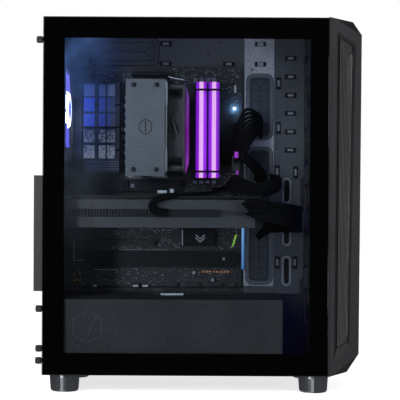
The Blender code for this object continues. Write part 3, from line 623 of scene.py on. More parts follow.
def fan_blades(name, body, hub, tip, count, at, turn, look, cap, node, low=5.0, high=19.0,
               hub_top=23.0, ring=None, lean=0.55):
    """A rotor: swept, twisted blades that thin towards the tip, round a domed hub."""
    blades = []
    steps = 7
    chord = 1.35 * math.pi / count
    for i in range(count):
        rings = []
        for step in range(steps + 1):
            out = step / steps
            radius = hub - 1 + (tip - hub + 1) * out
            turned_to = 2 * math.pi * i / count + lean * out ** 1.4
            flat = 1 - 0.45 * out
            width = chord * (1 - 0.12 * out)
            middle = (low + high) / 2
            line = []
            for k, side in ((0, 1), (1, 1), (2, 1), (3, 1), (4, 1), (4, -1), (3, -1), (2, -1), (1, -1),
                            (0, -1)):
                u = k / 4
                angle = turned_to + width * (u - 0.5)
                height = middle + (high - low) * flat * (u - 0.5) + 1.6 * math.sin(math.pi * u) * flat
                height += side * (0.2 + 0.75 * math.sin(math.pi * min(u + 0.08, 1))) * (1 - 0.4 * out)
                line.append(Vector((radius * math.cos(angle), radius * math.sin(angle), height)))
            rings.append(line)
        blades += lofted(rings)
    profile = [(0, hub_top), (hub * 0.5, hub_top - 0.1), (hub * 0.84, hub_top - 0.8),
               (hub * 0.86, hub_top - 1.4),
               (hub, hub_top - 2.4), (hub, 4.2), (hub - 1.5, 3.4), (0, 3.4)]
    parts = [(look, placed(blades, at, turn)), (cap, placed(turned("Z", (0, 0), profile, 48), at, turn))]
    if ring:
        glow = turned("Z", (0, 0), [(hub * 0.87, hub_top - 0.5), (hub * 1.0, hub_top - 0.9),
                                    (hub * 1.1, hub_top - 4), (hub * 1.1, hub_top - 10),
                                    (hub * 1.0, hub_top - 10), (hub * 0.87, hub_top - 2)], 48)
        parts.append((ring, placed(glow, at, turn)))
    return piece(name, body, parts, 0.0, [node], 50)


REAR_FAN = (-194.9, -31.0, 365.0)
fan_body("rear_fan_body", 140, 134, REAR_FAN, "rear_fan_frame")
fan_blades("rear_fan_blades", "rear_fan_rotor", 22, 65.4, 7, REAR_FAN, FACE_FRONT,
           BLADE_GLOW, HUB_CORE,
           "rear_fan_rotor", 9, 24.0, 26.0, HUB_GLOW)
for z, end in ((111.0, "bottom"), (252.0, "middle"), (393.0, "top")):
    place = (145.5, -10.0, z)
    fan_body(f"front_fan_body_{end}", 140, 134, place, f"front_fan_frame_{end}", 19.8)
    fan_blades(f"front_fan_blades_{end}", f"front_fan_rotor_{end}", 22, 65.4, 7, place,
               FACE_FRONT, FRONT_GLOW,
               ABS_BLACK, f"front_fan_rotor_{end}", 5.0, 15.0, 18.5)
CPU_FAN = (-41.2, -23.0, 340.0)
fan_body("cooler_fan_body", 120, 114, CPU_FAN, "cpu_fan_frame", 25.0, ABS_CARD)
fan_blades("cooler_fan_blades", "cpu_fan_rotor", 20, 55.6, 9, CPU_FAN, FACE_FRONT,
           ANODISED_MID, ABS_BLACK,
           "cpu_fan_rotor", 5, 18.5)

# The ring glows with painted purple light; it is no lamp
ring = turned("X", (-23.0, 340.0), [(56.8, -16.2), (56.8, -15.6), (51.0, -13.6), (44.0, -12.2),
                                    (42.0, -13.0), (48.0, -14.4), (54.4, -16.2)], 64)
piece("cooler_fan_ring", CASE, [(RING_PAINTED_PURPLE, ring)])

# The cooler's top plate, its screws and a plain six-sided mark
PLATE_X, PLATE_Z = (-92.0, -41.6), (277.0, 401.0)
plate = prism("Y", rounded(PLATE_X, PLATE_Z, 1.5), (-96.0, -92.6))
heads, sockets = [], []
for x in (-81.2, -51.8):
    for z in (284.9, 393.6):
        plate = boolean(plate, rod("Y", (x, z), 3.7, (-99, -94.6), 24))
        heads += turned("Y", (x, z), [(0, -95.4), (2.6, -95.4), (3.1, -94.9), (3.1, -94.0)], 24)
        sockets += prism("Y", circle((x, z), 1.4, 6), (-95.5, -94.2))
hexagon = [(-66.5 + 9.5 * math.cos(math.pi / 2 + k * math.pi / 3),
            339.9 + 10.5 * math.sin(math.pi / 2 + k * math.pi / 3)) for k in range(6)]
smaller = [(-66.5 + (a + 66.5) * 0.88, 339.9 + (b - 339.9) * 0.88) for a, b in hexagon]
mark = ring_prism("Y", hexagon, smaller, (-96.15, -95.9)) + box((-67.1, -65.9), (-96.15, -95.9),
    (333.5, 348.0))
piece("cooler_plate", CASE,
      [(COAT_COOLER, plate), (ZINC_BLACK, heads), (VOID, sockets), (ANODISED, mark)], 0.25,
          ["cooler_top_plate"])
# Fan clips: bent spring wire down the edge between fins and fan
clips = []
for z in (280.5, 399.5):
    clips += tube(curved([(-43.5, -92.0, z), (-41.0, -93.4, z), (-39.6, -88.0, z),
                          (-39.6, -86.0, (z + 340) / 2)], 5), 0.8)
straps = box((-41.0, -38.6), (-95.0, -93.8), (367.0, 398.0)) + box((-41.0, -38.6), (-95.0, -93.8),
    (283.0, 312.0))
straps += box((-40.6, -39.2), (-93.9, -93.0), (311.0, 368.0))
piece("fan_clips", CASE, [(STEEL, clips + straps)], 0.2)

# The memory: finned spreaders with a light bar along the top edge; its lip carries a painted spill of the
# bar's light
for x, label in ((3.8, "a"), (21.0, "b")):
    side_out = [(x - 3.8, 24.0), (x - 3.2, 19.0), (x + 3.2, 19.0), (x + 3.8, 24.0), (x + 3.8, 56.8),
                (x + 0.6, 57.0),
                (x + 0.6, 62.0), (x - 0.6, 62.0), (x - 0.6, 57.0), (x - 3.8, 56.8)]
    spreader = prism("Z", side_out, (277.2, 407.4))
    bars, edges = [], []
    for z in ((277.4, 284.4), (287.2, 395.4), (398.4, 407.4)):
        bars += prism("Z", [(x - 2.9, 19.2), (x - 2.6, 17.1), (x + 2.6, 17.1), (x + 2.9, 19.2)], z)
        edges += prism("Z", [(x - 7.6, 22.6), (x - 3.2, 19.4), (x + 3.2, 19.4), (x + 7.6, 22.6),
                             (x + 3.8, 23.8), (x - 3.8, 23.8)], z)
    piece(f"memory_stick_{label}", CASE, [(ANODISED, spreader), (BAR_CORE, bars),
        (BAR_EDGE_AND_SPILL, edges)], 0.0,
          [f"memory_module_{label}"])
latches = []
for i in range(4):
    x = 3.8 + (i - 1) * 8.6
    for z, tall in ((272.0, 4.0), (411.8, 6.4)):
        latches += box(around(x, 6.0), (42.0, 58.0), around(z, tall))
piece("memory_latches", CASE, [(SOCKET_GREY, latches)], 0.5)

# The graphics card: two bands along its edge with a finned groove between them that runs out to a point
CARD_X, CARD_Y = (-190.0, 84.0), (-64.0, 52.0)
outline = [(CARD_X[0], CARD_Y[0] + 2), (CARD_X[0] + 2, CARD_Y[0]), (CARD_X[1] - 9, CARD_Y[0]),
           (CARD_X[1], CARD_Y[0] + 9),
           (CARD_X[1], CARD_Y[1]), (CARD_X[0], CARD_Y[1])]
cover = prism("Z", outline, (210.4, 246.8))
for x in (-122.0, 8.0):
    cover = boolean(cover, rod("Z", (x, -6.0), 49.0, (206, 224.4), 64))
groove = [(-186.0, 224.2), (28.0, 224.2), (44.0, 226.4), (62.0, 229.0), (44.0, 231.8), (28.0, 234.4),
          (-186.0, 234.4)]
cover = boolean(cover, prism("Y", groove, (-66.0, -57.0)))
fins = []
for i in range(54):
    x = -183.0 + 4.0 * i
    squeeze = max(0.0, (x - 28.0) / 34.0)
    fins += box(around(x, 1.1), (-62.6, -56.8), (224.0 + 4.6 * squeeze, 234.6 - 5.2 * squeeze))
# The cover's rear end is black ABS: painted shade where less light reaches it
painted_shade_tail = boolean([(list(cover[0][0]), list(cover[0][1]))], box((-200, -134), (-70, 60), (200, 260)),
               "INTERSECT")
cover = boolean(cover, box((-200, -134), (-70, 60), (200, 260)))
piece("card_cover", CASE, [(ABS_CARD, cover), (ABS_BLACK, painted_shade_tail), (FIN_DARK, fins)], 0.0,
      ["graphics_shroud"])
for x, end in ((-122.0, "rear"), (8.0, "front")):
    fan_blades(f"card_fan_blades_{end}", f"graphics_fan_{end}", 18, 46.2, 11,
               (x, -6.0, 223.4), (math.pi, 0, 0),
               ABS_BLACK, ABS_BLACK, f"graphics_fan_{end}", 2.0, 9.0, 11.8)
piece("card_edge_light", CASE,
      [(STEEL, box((-173.0, -165.0), (-64.6, -60.0), (248.0, 251.8)) + box((-168.6, -166.4), (-64.0, -60.0),
          (450.0, 463.0)))], 0.3)

# The tray: a raised strip painted brighter as painted light, with three rubber cable grommets
strip = prism("Y", rounded((62.8, 104.3), (128.5, 476.0), 0.5), (70.9, 71.8))
GROMMETS = ((131.0, 221.0), (231.0, 321.4), (332.5, 422.8))
for low, high in GROMMETS:
    strip = boolean(strip, prism("Y", rounded((68.4, 100.8), (low + 2, high - 2), 8.0), (68, 76)))
piece("tray_strip", CASE, [(COAT_STRIP_PAINTED_LIGHT, strip)], 0.25)


def grommet(x, z, upright=True):
    """A lipped rubber surround with a slit flap across it."""
    rim = ring_prism("Y", rounded(x, z, 9.0), rounded((x[0] + 4.2, x[1] - 4.2), (z[0] + 4.2, z[1] - 4.2),
        5.5), (69.4, 73.8))
    flap = prism("Y", rounded((x[0] + 4.0, x[1] - 4.0), (z[0] + 4.0, z[1] - 4.0), 5.6), (71.2, 72.0))
    slits = []
    mid_x, mid_z = (x[0] + x[1]) / 2, (z[0] + z[1]) / 2
    inner = (x[0] + 7.0, x[1] - 7.0, z[0] + 7.0, z[1] - 7.0)
    wide = inner[1] - inner[0]

    def slit(a, b):
        return tube([Vector((a[0], 71.1, a[1])), Vector((b[0], 71.1, b[1]))], 0.35, 6)

    if upright:
        slits += slit((mid_x, inner[2] + wide / 2), (mid_x, inner[3] - wide / 2))
        for end, way in ((inner[2], 1), (inner[3], -1)):
            slits += slit((inner[0], end), (mid_x, end + way * wide / 2)) + slit((inner[1], end),
                (mid_x, end + way * wide / 2))
        for k in range(1, 5):
            height = inner[2] + (inner[3] - inner[2]) * k / 5
            slits += slit((inner[0], height), (inner[1], height))
    else:
        tall = inner[3] - inner[2]
        slits += slit((inner[0] + tall / 2, mid_z), (inner[1] - tall / 2, mid_z))
        for end, way in ((inner[0], 1), (inner[1], -1)):
            slits += slit((end, inner[2]), (end + way * tall / 2, mid_z)) + slit((end, inner[3]),
                (end + way * tall / 2, mid_z))
    for line in (((inner[0], inner[2]), (inner[0], inner[3])), ((inner[1], inner[2]), (inner[1], inner[3])),
                 ((inner[0], inner[2]), (inner[1], inner[2])),
                     ((inner[0], inner[3]), (inner[1], inner[3]))):
        slits += slit(*line)
    shadow = ring_prism("Y", rounded((x[0] - 0.7, x[1] + 0.7), (z[0] - 0.7, z[1] + 0.7), 9.6),
                        rounded(x, z, 9.0), (70.2, 71.0))
    return rim, flap, slits + shadow


# The three tray grommets' lips carry a painted highlight
for number, (low, high) in enumerate(GROMMETS):
    rim, flap, slits = grommet((66.4, 102.8), (low, high))
    piece(f"grommet_{number + 1}", CASE, [(RUBBER_LIP_PAINTED_HIGHLIGHT, rim), (RUBBER, flap), (VOID, slits)],
          0.3)
rim, flap, slits = grommet((-152.0, -56.2), (434.0, 473.0), False)
piece("grommet_top", CASE, [(RUBBER, rim), (RUBBER, flap), (VOID, slits)], 0.3)

# Tie-down bridges pressed out of the tray, each over a dark slot; the bridges and the oblong slots' rims
# carry a painted highlight
BRIDGES_ACROSS = [(85.1, 464.6), (85.1, 436.8), (127.3, 445.3), (127.3, 419.4), (127.3, 393.7),
                  (127.3, 368.7), (127.3, 343.1),
                  (127.3, 317.6), (41.1, 436.8), (-46.5, 464.6), (-46.5, 436.8)]
BRIDGES_UP = [(110.6, 410.4), (110.6, 348.5), (134.8, 286.6), (109.2, 288.0), (110.0, 161.5),
              (134.2, 161.5)]
dark, metal = [], []
for places, wide, tall in ((BRIDGES_ACROSS, 16.0, 6.6), (BRIDGES_UP, 6.6, 17.0)):
    for x, z in places:
        dark += ring_prism("Y", rounded(around(x, wide), around(z, tall), 0.6, 2),
                           rounded(around(x, wide - 1.6), around(z, tall - 1.6), 0.3, 2), (70.4, 71.9))
        for end in (-1, 1):
            if wide > tall:
                dark += box(around(x + end * (wide / 2 - 2.4), 3.0), (70.6, 71.9), around(z, tall - 1.0))
            else:
                dark += box(around(x, wide - 1.0), (70.6, 71.9), around(z + end * (tall / 2 - 2.4), 3.0))
        metal += box(around(x, wide - 8 if wide > tall else 2.4), (69.6, 71.2),
                     around(z, 2.4 if wide > tall else tall - 8))
for x, z in ((73.7, 429.0), (71.7, 128.1), (12.0, 452.0), (30.0, 467.0)):
    dark += rod("Y", (x, z), 1.5, (70.4, 71.9), 16)
oblong_rims = []
for low, high in ((243.5, 278.3), (185.1, 224.1), (129.5, 169.8)):
    slot_line = rounded(around(122.7, 6.0), (low + 3, high - 3), 2.9)
    oblong_rims += ring_prism("Y", rounded(around(122.7, 13.0), (low - 1, high + 1), 6.4),
                              rounded(around(122.7, 8.0), (low + 2, high - 2), 3.9), (69.8, 71.9))
    dark += prism("Y", slot_line, (71.0, 71.9))
piece("tray_slots", CASE, [(VOID, dark), (COAT_RIM_PAINTED_HIGHLIGHT, metal + oblong_rims)], 0.2)
# Black tabs beside the front fans, painted with spilled blue light
tabs = []
for x, z in (((140.8, 158.0), (231.0, 280.7)), ((148.2, 158.0), (330.4, 431.2)),
             ((140.3, 158.0), (60.0, 140.0))):
    tabs += prism("Y", rounded(x, z, 3.5), (58.0, 60.0))
piece("fan_side_tabs", CASE, [(TAB_PAINTED_BLUE, tabs)], 0.5)

# The board's small parts
chance = random.Random(11)
FACE = 64.0


def scatter(region, count, low=(0.8, 0.5), high=(3.2, 1.8), tall=(0.4, 1.6)):
    """Soldered parts strewn over a region: most are tiny, with tinned ends."""
    bodies, ends = [], []
    for _ in range(count):
        x = chance.uniform(region[0], region[1])
        z = chance.uniform(region[2], region[3])
        long = chance.uniform(low[0], high[0])
        wide = chance.uniform(low[1], high[1])
        rise = chance.uniform(*tall)
        if chance.random() < 0.5:
            bodies += box(around(x, long), (FACE - rise, FACE + 0.05), around(z, wide))
            ends += box(around(x - long / 2, 0.7), (FACE - rise - 0.05, FACE), around(z, wide * 1.05))
            ends += box(around(x + long / 2, 0.7), (FACE - rise - 0.05, FACE), around(z, wide * 1.05))
        else:
            bodies += box(around(x, wide), (FACE - rise, FACE + 0.05), around(z, long))
            ends += box(around(x, wide * 1.05), (FACE - rise - 0.05, FACE), around(z - long / 2, 0.7))
    return bodies, ends


chips, ends = [], []
for region, count in (((-40, 56, 409, 430), 120), ((-150, -95, 409, 428), 30), ((30, 58, 385, 404), 25),
                      ((28, 58, 255, 285), 45),
                      ((-120, -25, 178, 208), 170), ((28, 58, 180, 255), 90), ((-170, 56, 129, 153), 150),
                          ((-30, 55, 255, 270), 60),
                      ((-182, -155, 180, 270), 60), ((-104, -95, 290, 400), 30)):
    more, tinned = scatter(region, count)
    chips += more
    ends += tinned
piece("board_small_parts", CASE, [(CERAMIC, chips), (SOLDER, ends)])
packs = []
for x, z, wide, tall in ((-92, 196, 9, 9), (-60, 193, 14, 7), (-36, 196, 10, 12), (40, 225, 8, 8),
                         (-110, 143, 9, 6), (8, 143, 12, 7),
                         (40, 140, 7, 7), (36, 270, 6, 10), (44, 392, 8, 8), (-164, 225, 7, 12),
                             (-60, 141, 8, 8), (46, 360, 6, 12)):
    packs += box(around(x, wide), (FACE - 1.6, FACE), around(z, tall))
piece("board_chips", CASE, [(NYLON, packs)], 0.3)
cans, tops = [], []
for x, z in [(-101, 300 + 11 * k) for k in range(9)] + [(28, 250), (36, 250), (-6, 147), (20, 137)]:
    cans += turned("Y", (x, z), [(0, 56.2), (2.9, 56.2), (3.2, 56.6), (3.2, 63.6), (2.9, 64)], 20)
    tops += turned("Y", (x, z), [(0, 56.0), (2.5, 56.0), (2.6, 56.3)], 20)
piece("board_capacitors", CASE, [(NYLON, cans), (SOLDER, tops)])
chokes = []
for k in range(7):
    chokes += box((-107.5, -99.5), (57.0, FACE), around(300 + 15.4 * k, 9))
piece("board_chokes", CASE, [(CERAMIC, chokes)], 0.6)
print_lines, gold, amber, green = [], [], [], []
for x, z, wide, tall in ((-45, 250.5, 120, 0.5), (-172, 176, 0.6, 28), (-165, 163, 14, 0.5),
                         (-128, 150.5, 30, 0.5), (-112, 147, 0.5, 7),
                         (52, 215, 0.5, 26), (-20, 210.5, 60, 0.5), (-75, 178.5, 70, 0.4),
                             (47, 284, 18, 0.5)):
    print_lines += box(around(x, wide), (FACE - 0.12, FACE), around(z, tall))
for k in range(26):
    z = chance.choice((149.5, 205, 181, 132.5, 210))
    print_lines += box(around(-110 + 6.2 * k, chance.uniform(1, 3.4)), (FACE - 0.12, FACE),
                       around(z + chance.uniform(-1, 1), 0.8))
for x in (-170.7, -163.8):
    for z in (135.6, 143.9):
        gold += rod("Y", (x, z), 2.3, (FACE - 0.15, FACE), 20)
for k in range(8):
    amber += box(around(7 + 4.9 * k, 2.1), (62.9, FACE), around(148.2, 2.1))
for k in range(8):
    green += placed(box((-0.5, 0.5), (-0.3, 0), (-3.2, 3.2)),
                    (48.6 + 1.0 * k - 4.4 * (k // 4), FACE - 0.1, 185.5 + 3.6 * (k % 4) + k // 4),
                        (0, 0.6, 0))
piece("board_print", CASE, [(SILKSCREEN, print_lines), (COPPER_GOLD, gold),
                                             (MARK_AMBER, amber), (MARK_GREEN, green)])
headers, whites = [], []
for x, z, wide in ((-130, 131.5, 22), (-87, 130.5, 10), (-73, 130.5, 10), (-40, 131, 24), (-8, 131, 20),
                   (24, 131.5, 18), (46, 131, 12)):
    headers += box(around(x, wide), (55.5, FACE), around(z, 5.2))
for x, z, wide, tall in ((-86.0, 128.6, 7.5, 2.6), (-72.6, 128.6, 7.5, 2.6), (-142, 128.6, 5, 2.0)):
    whites += box(around(x, wide), (54.6, 55.6), around(z, tall))
piece("board_headers", CASE, [(NYLON, headers), (SILKSCREEN, whites)], 0.3)

# Lower board sinks
chip_parts = [(ANODISED, box((-20.5, 23.0), (50.6, 51.1), (186.5, 206.5))),
              (SILKSCREEN, box((-22.4, -20.9), (50.2, 63), (184.6, 206.2)))]
chevrons = []
for shift in (0.0, 4.2):
    for way in (-1, 1):
        chevrons += placed(box((-0.75, 0.75), (-0.2, 0.2), (-4.6, 4.6)),
                           (2.8 + way * 2.9, 50.5, 196.5 - shift), (0, way * 0.85, 0))
chip_parts.append((SILKSCREEN, chevrons))
piece("chipset_cap", CASE, chip_parts, 0.15)
upper_sink = box((-134.6, -25.0), (46.0, FACE - 0.4), (259.0, 274.9))
cuts = []
for k in range(12):
    cuts += box(around(-131 + 3.2 * k, 1.2), (45, 52), (257, 277))
upper_sink = boolean(upper_sink, cuts)
crosses = []
for way in (-1, 1):
    crosses += placed(box((-0.5, 0.5), (-0.15, 0.15), (-3.4, 3.4)), (-90.5, 45.9, 266.8),
                      (0, way * 0.75, 0))
    crosses += placed(box((-0.5, 0.5), (-0.15, 0.15), (-2.4, 2.4)), (35.3, 54.8, 166.4), (0, way * 0.75, 0))
piece("upper_drive_sink", CASE, [(ANODISED, upper_sink), (SILKSCREEN, crosses)], 0.4)
# The rear sink's block faces, with painted blue and white light
blue, pale, plain = [], [], []
COLUMNS = ((-157.0, -141.8), (-136.0, -127.0), (-124.8, -114.2))
ROWS = ((303.5, 321.2), (325.4, 342.6), (347.0, 364.4), (367.6, 386.2), (388.2, 404.5))
for i, column in enumerate(COLUMNS):
    for j, row in enumerate(ROWS):
        target = pale if j == 0 or (j == 1) else blue if j in (2, 3) else plain
        target += prism("Y", rounded(column, row, 0.8, 2), (33.0, 33.9))
piece("rear_sink_caps", CASE, [(CELL_PAINTED_BLUE, blue), (CELL_PAINTED_WHITE, pale),
    (ANODISED_MID, plain)], 0.2)
fins = []
for k in range(6):
    fins += box((-156.5, -108.5), (32.4, 34.2), around(287.5 + 2.4 * k, 1.0))
piece("rear_sink_fins", CASE, [(ANODISED_MID, fins)], 0.1)
# The board's edge, painted with blue light, paler towards the top
piece("board_edge_painted_light", CASE,
      [(EDGE_PAINTED_BLUE, prism("Z", [(60.1, 63.0), (62.4, 63.0), (63.2, 63.8), (63.2, 66.0), (60.1, 66.0)],
                         (152.0, 209.0)))], 0.2)
piece("status_diode", CASE,
      [(DIODE, turned("Y", (49.2, 374.6), [(0, 61.6), (1.0, 61.8), (1.3, 62.6), (1.3, 64)], 16))])

# Cables, each a bundle of sleeved wires on the route of its solid
board_route = curved([(51.5, 40, 313), (51.5, 30, 313), (60, 19, 308), (74, 24, 296), (84.6, 46, 284),
                      (84.6, 72, 276), (82, 86, 262),
                      (70, 91, 230), (60, 91, 150), (56, 91, 95)], 8)
wires = []
for i in range(4):
    for j in range(3):
        wires += tube(board_route, 1.9, 8, ((j - 1) * 4.0, (i - 1.5) * 4.0))
plug = box((46.2, 56.8), (40.0, 51.6), (287.2, 338.8))
# Painted glints: two glowing patches stand for purple light caught on the lead and its plug
painted_glints = box((49.0, 54.0), (12.0, 20.0), (304.5, 312.5)) + box((52.0, 54.5), (39.4, 40.2), (282.5, 288))
piece("board_power_bundle", CASE, [(SLEEVE, wires), (NYLON, plug), (PURPLE_PAINTED_GLINT, painted_glints)], 0.0,
      ["board_power_cable"], 60)
card_route = curved([(62, -72, 238), (74, -84, 238), (92, -80, 236), (108, -56, 231), (110, -10, 225),
                     (98, 40, 212), (88, 72, 200),
                     (90, 87, 184), (93, 91, 140), (93, 91, 95)], 8)
wires = []
for i in range(4):
    for j in range(2):
        wires += tube(card_route, 2.0, 8, ((j - 0.5) * 4.2, (i - 1.5) * 4.2))
plug = box((50.2, 65.8), (-77.6, -64.2), (230.2, 245.8))
piece("card_power_bundle", CASE, [(SLEEVE, wires), (NYLON, plug)], 0.0,
      ["graphics_power_cable"], 60)

# More dark wires: the board lead's upper fan, the card's second lead and a loop over the card
upper, second, loop = [], [], []
for k in range(10):
    start = 300.0 + 4.2 * k
    path = [(50.0, 40.0, start), (54.0, 20.0, start + 4 + k), (64.0, 8.0 + k, start + 14 + 2 * k),
            (78.0, 24.0, 336.0 + 3.4 * k),
            (86.0, 52.0, 334.0 + 3.0 * k), (86.0, 71.0, 338.0 + 2.4 * k)]
    upper += tube(curved(path, 6), 2.1, 8)
for k in range(5):
    upper += tube(curved([(33 + 3.4 * k, 52.0, 296.0), (32 + 3.6 * k, 40.0, 318.0),
                          (38 + 3.4 * k, 34.0, 340.0), (52 + 3 * k, 36.0, 352.0)], 6), 2.0, 8)
for k in range(7):
    drop = 3.6 * k
    path = [(62.0, -62.0, 244.0 - drop * 0.6), (84.0, -80.0, 244.0 - drop),
            (116.0, -72.0, 240.0 - drop * 1.2), (137.0, -30.0, 236.0 - drop * 1.35),
            (124.0, 24.0, 228.0 - drop), (102.0, 60.0, 218.0 - drop * 0.6),
                (92.0, 71.0, 212.0 - drop * 0.4)]
    second += tube(curved(path, 6), 2.5, 8)
for shift in (0.0, 3.6):
    path = [(34.0, 30.0, 262.0), (12.0, -30.0, 256.0), (-26.0, -64.0, 253.0),
            (-50.0, -72.0 - shift, 250.0 - shift), (-61.0 + shift, -73.0, 240.0),
            (-55.0 + shift, -73.0, 230.0 + shift), (-38.0, -70.0, 229.0 + shift)]
    loop += tube(curved(path, 6), 2.6, 10)
tangle = []
for k in range(6):
    rise = 3.4 * k
    path = [(20.0 + 4 * k, 50.0, 262.0), (48.0, 20.0 + 2 * k, 262.0 + rise),
            (78.0, 10.0 + 4 * k, 252.0 + rise), (104.0, 24.0, 258.0 + rise),
            (112.0, 52.0, 268.0 + rise * 0.6), (100.0, 70.5, 266.0 + rise)]
    tangle += tube(curved(path, 6), 2.2, 8)
piece("board_lead_upper", CASE, [(SLEEVE, upper)], 0.0, (), 60)
piece("card_lead_second", CASE, [(SLEEVE, second)], 0.0, (), 60)
piece("header_leads", CASE, [(SLEEVE, loop + tangle)], 0.0, (), 60)
plugs = box((-52, -40), (-62, -54), (255.5, 259)) + box((-36, -31), (-60, -54),
    (256, 261)) + box((48.8, 51.4), (54.0, FACE), (396.5, 406))
plugs += tube([Vector((-38, -60, 407)), Vector((-30, -62, 404.5)), Vector((-19, -58, 403.6))], 0.8, 6)
piece("lead_plugs", CASE, [(SILKSCREEN, plugs)], 0.2)

# Details of the power supply shroud
mark_x, mark_z = -139.8, 84.4


def six_sided(wide, tall, shift=0.0):
    return [(mark_x + shift + wide * math.cos(math.pi / 2 + k * math.pi / 3),
             mark_z - shift + tall * math.sin(math.pi / 2 + k * math.pi / 3))
            for k in range(6)]


# The mark's raised edges: a dark outline of painted shade, and a lighter outline offset from it as a painted
# highlight
dark = ring_prism("Y", six_sided(21.4, 20.6), six_sided(20.6, 19.8),
                  (-98.3, -97.9)) + box((mark_x - 4.6, mark_x - 4.0), (-98.3, -97.9), (70, 103))
light = ring_prism("Y", six_sided(21.2, 20.4, 0.7), six_sided(20.7, 19.9, 0.7), (-98.4, -97.9))
light += placed(box((-0.3, 0.3), (-0.2, 0.2), (-16, 16)), (mark_x + 6, -98.2, mark_z - 1), (0, 0.42, 0))
piece("shroud_mark", CASE, [(COAT_BLACK, dark), (COAT_TRAY, light)])
piece("shroud_top_clip", CASE,
      [(SILKSCREEN, prism("Z", rounded((-49.5, -18.6), (-1.2, 1.2), 1.0), (119.1, 121.6))),
                                                 (NYLON, prism("Z", rounded((-58, -51), (-1.2, 1.2), 1.0),
                                                     (119.1, 121.2)))], 0.2)
FOLD = [(70.6, 119.3), (70.6, 127.2), (69.6, 127.2), (69.2, 121.6), (68.4, 120.6), (67.5, 120.4),
        (67.5, 119.3)]
fold = prism("X", FOLD, (-190.0, 61.5))
for k in range(9):
    fold = boolean(fold, prism("Y", rounded(around(-170 + 26 * k, 9), (123.2, 125.6), 1.1), (66, 72)))
piece("tray_lower_fold", CASE, [(COAT_BLACK, fold)], 0.2)
# A dark plate by the front fans, painted with spilled blue light
wall = prism("Y", rounded((111.5, 160.0), (25.0, 118.6), 3.0), (69.0, 70.2))
wall += ring_prism("Y", rounded((111.5, 160.0), (25.0, 118.6), 3.0),
                   rounded((113.5, 158.0), (27.0, 116.6), 2.0), (67.6, 69.2))
piece("front_bay_wall", CASE, [(TAB_PAINTED_BLUE, wall)], 0.2)
# The shroud's lip, painted with spilled blue light along its edge
lip = prism("X", rounded((-98, 70), (24, 119), 2.5), (109.2, 109.8))
lip += ring_prism("X", rounded((-98, 70), (24, 119), 2.5), rounded((-95.5, 67.5), (26.5, 116.5), 1.5),
                  (109.7, 110.6))
piece("shroud_lip", CASE, [(TAB_PAINTED_BLUE, lip)], 0.15)

# Details of the rear
grille = prism("X", circle((-31.0, 365.0), 64.9, 64), (-196.2, -195.5))
piece("rear_grille", CASE, [(MESH_REAR, grille)])


def knurled_screw(name, body, y, z):
    teeth = []
    for k in range(48):
        radius = 4.5 if k % 2 else 4.15
        teeth.append((y + radius * math.cos(math.pi * k / 24), z + radius * math.sin(math.pi * k / 24)))
    head = prism("X", teeth, (-204.6, -198.6))
    collar = turned("X", (y, z), [(0, -205.8), (3.4, -205.8), (4.1, -205.2), (4.2, -204.5)], 32)
    collar += turned("X", (y, z), [(4.2, -198.7), (3.6, -197.6), (1.8, -197.3), (1.8, -193.4), (0, -193.4)],
                     32)
    slots = box((-205.9, -205.4), around(y, 4.6), around(z, 0.9)) + box((-205.9, -205.4), around(y, 0.9),
        around(z, 4.6))
    piece(name, body, [(ZINC_BLACK, head + collar), (VOID, slots)], 0.15, [body])


for use, y, heights in (("glass", -96.5, (40.4, 450.5)), ("right", 96.5, (40.4, 450.5)),
                        ("psu", -94.5, (55.7, 106.5))):
    for z, end in zip(heights, ("bottom", "top")):
        knurled_screw(f"screw_{use}_{end}", f"thumbscrew_{use}_{end}", y, z)

# Studio: a pale floor lit from below, soft light all round with less from above, and dark flags for gloss
stage_mesh = mesh_of("floor", [(None, box((-6000, 6000), (-6000, 6000), (-20.2, -0.2)))])
floor = bpy.data.objects.new("floor", stage_mesh)
bpy.context.scene.collection.objects.link(floor)
floor_finish = grained("frosted white acrylic", "#f4f4f4", "#fafafa", 3.0, (0.8, 0.9), 0.0, gloss=0.0)
acrylic = floor_finish.node_tree.nodes["Principled BSDF"]
acrylic.inputs["Emission Color"].default_value = (1, 1, 1, 1)
acrylic.inputs["Emission Strength"].default_value = 0.7
stage_mesh.materials.append(floor_finish)
floor.visible_glossy = False

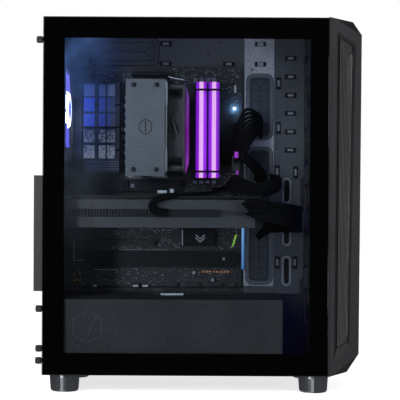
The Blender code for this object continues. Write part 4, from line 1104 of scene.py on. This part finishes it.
world = bpy.data.worlds.new("studio")
bpy.context.scene.world = world
world.use_nodes = True
ground = world.node_tree.nodes["Background"]
ground.inputs["Color"].default_value = (1, 1, 1, 1)
rays = add(world, "LightPath")
way = add(world, "SeparateXYZ", {"Vector": add(world, "TexCoord").outputs["Generated"]})
wall = add(world, "MapRange", {"Value": way.outputs["Y"], "From Min": -0.97, "From Max": -0.6,
                               "To Min": 0.016, "To Max": 0.09})
roof = add(world, "MapRange", {"Value": way.outputs["Z"], "From Min": 0.1, "From Max": 0.7, "To Min": 1.0,
                               "To Max": 0.25})
matt = add(world, "Mix", {0: rays.outputs["Is Camera Ray"], 2: roof.outputs["Result"], 3: 1.0})
below = add(world, "MapRange", {"Value": way.outputs["Z"], "From Min": -0.14, "From Max": -0.2,
                                "To Max": 1.6})
off = add(world, "Math", {0: add(world, "Math", {0: way.outputs["X"], 1: 0.2}, operation="ADD").outputs[0]},
          operation="ABSOLUTE")
band = add(world, "MapRange", {"Value": off.outputs[0], "To Min": 1.0, "To Max": 0.0, "From Max": 0.3},
           interpolation_type="SMOOTHSTEP")
card = add(world, "Math", {0: below.outputs["Result"], 1: band.outputs["Result"],
                           2: wall.outputs["Result"]}, operation="MULTIPLY_ADD")
level = add(world, "Mix", {0: rays.outputs["Is Glossy Ray"], 2: matt.outputs[0], 3: card.outputs[0]})
link(world, level.outputs[0], ground.inputs["Strength"])


def lamp(name, at, aim, power, size, colour="#ffffff", tall=None):
    light = bpy.data.lights.new(name, "AREA")
    light.energy = power
    light.size = size
    if tall:
        light.shape = "RECTANGLE"
        light.size_y = tall
    light.color = linear(colour)[:3]
    obj = bpy.data.objects.new(name, light)
    bpy.context.scene.collection.objects.link(obj)
    obj.location = at
    obj.rotation_euler = (Vector(aim) - Vector(at)).to_track_quat("-Z", "Y").to_euler()
    return obj


lamp("key", (-1.1, -2.4, 1.5), (0, 0, 0.25), 33, 0.9)
lamp("fill", (1.5, -2.2, 1.0), (0, 0, 0.25), 20, 0.9)
lamp("foot_strip", (-0.95, -2.2, 0.32), (0, 0, 0.1), 16, 0.2, "#ffffff", 0.9)
lamp("memory_spill", (0.0124, 0.012, 0.34), (0.0124, 0.07, 0.34), 0.022, 0.006, "#c020ff", 0.1)
lamp("memory_side_spill", (0.0124, 0.010, 0.34), (-0.03, 0.012, 0.34), 0.012, 0.02, "#a018f0", 0.1)
lamp("diode_spill", (0.0492, 0.052, 0.3746), (0.0492, 0.064, 0.3746), 0.008, 0.004, "#90c8ff")
lamp("fan_spill", (-0.165, -0.031, 0.365), (0.2, -0.02, 0.34), 0.12, 0.1, "#3060ff")
lamp("front_spill", (0.136, -0.01, 0.25), (-0.2, 0.0, 0.25), 0.016, 0.12, "#3058ff", 0.36)

bpy.context.scene.view_settings.view_transform = "Standard"
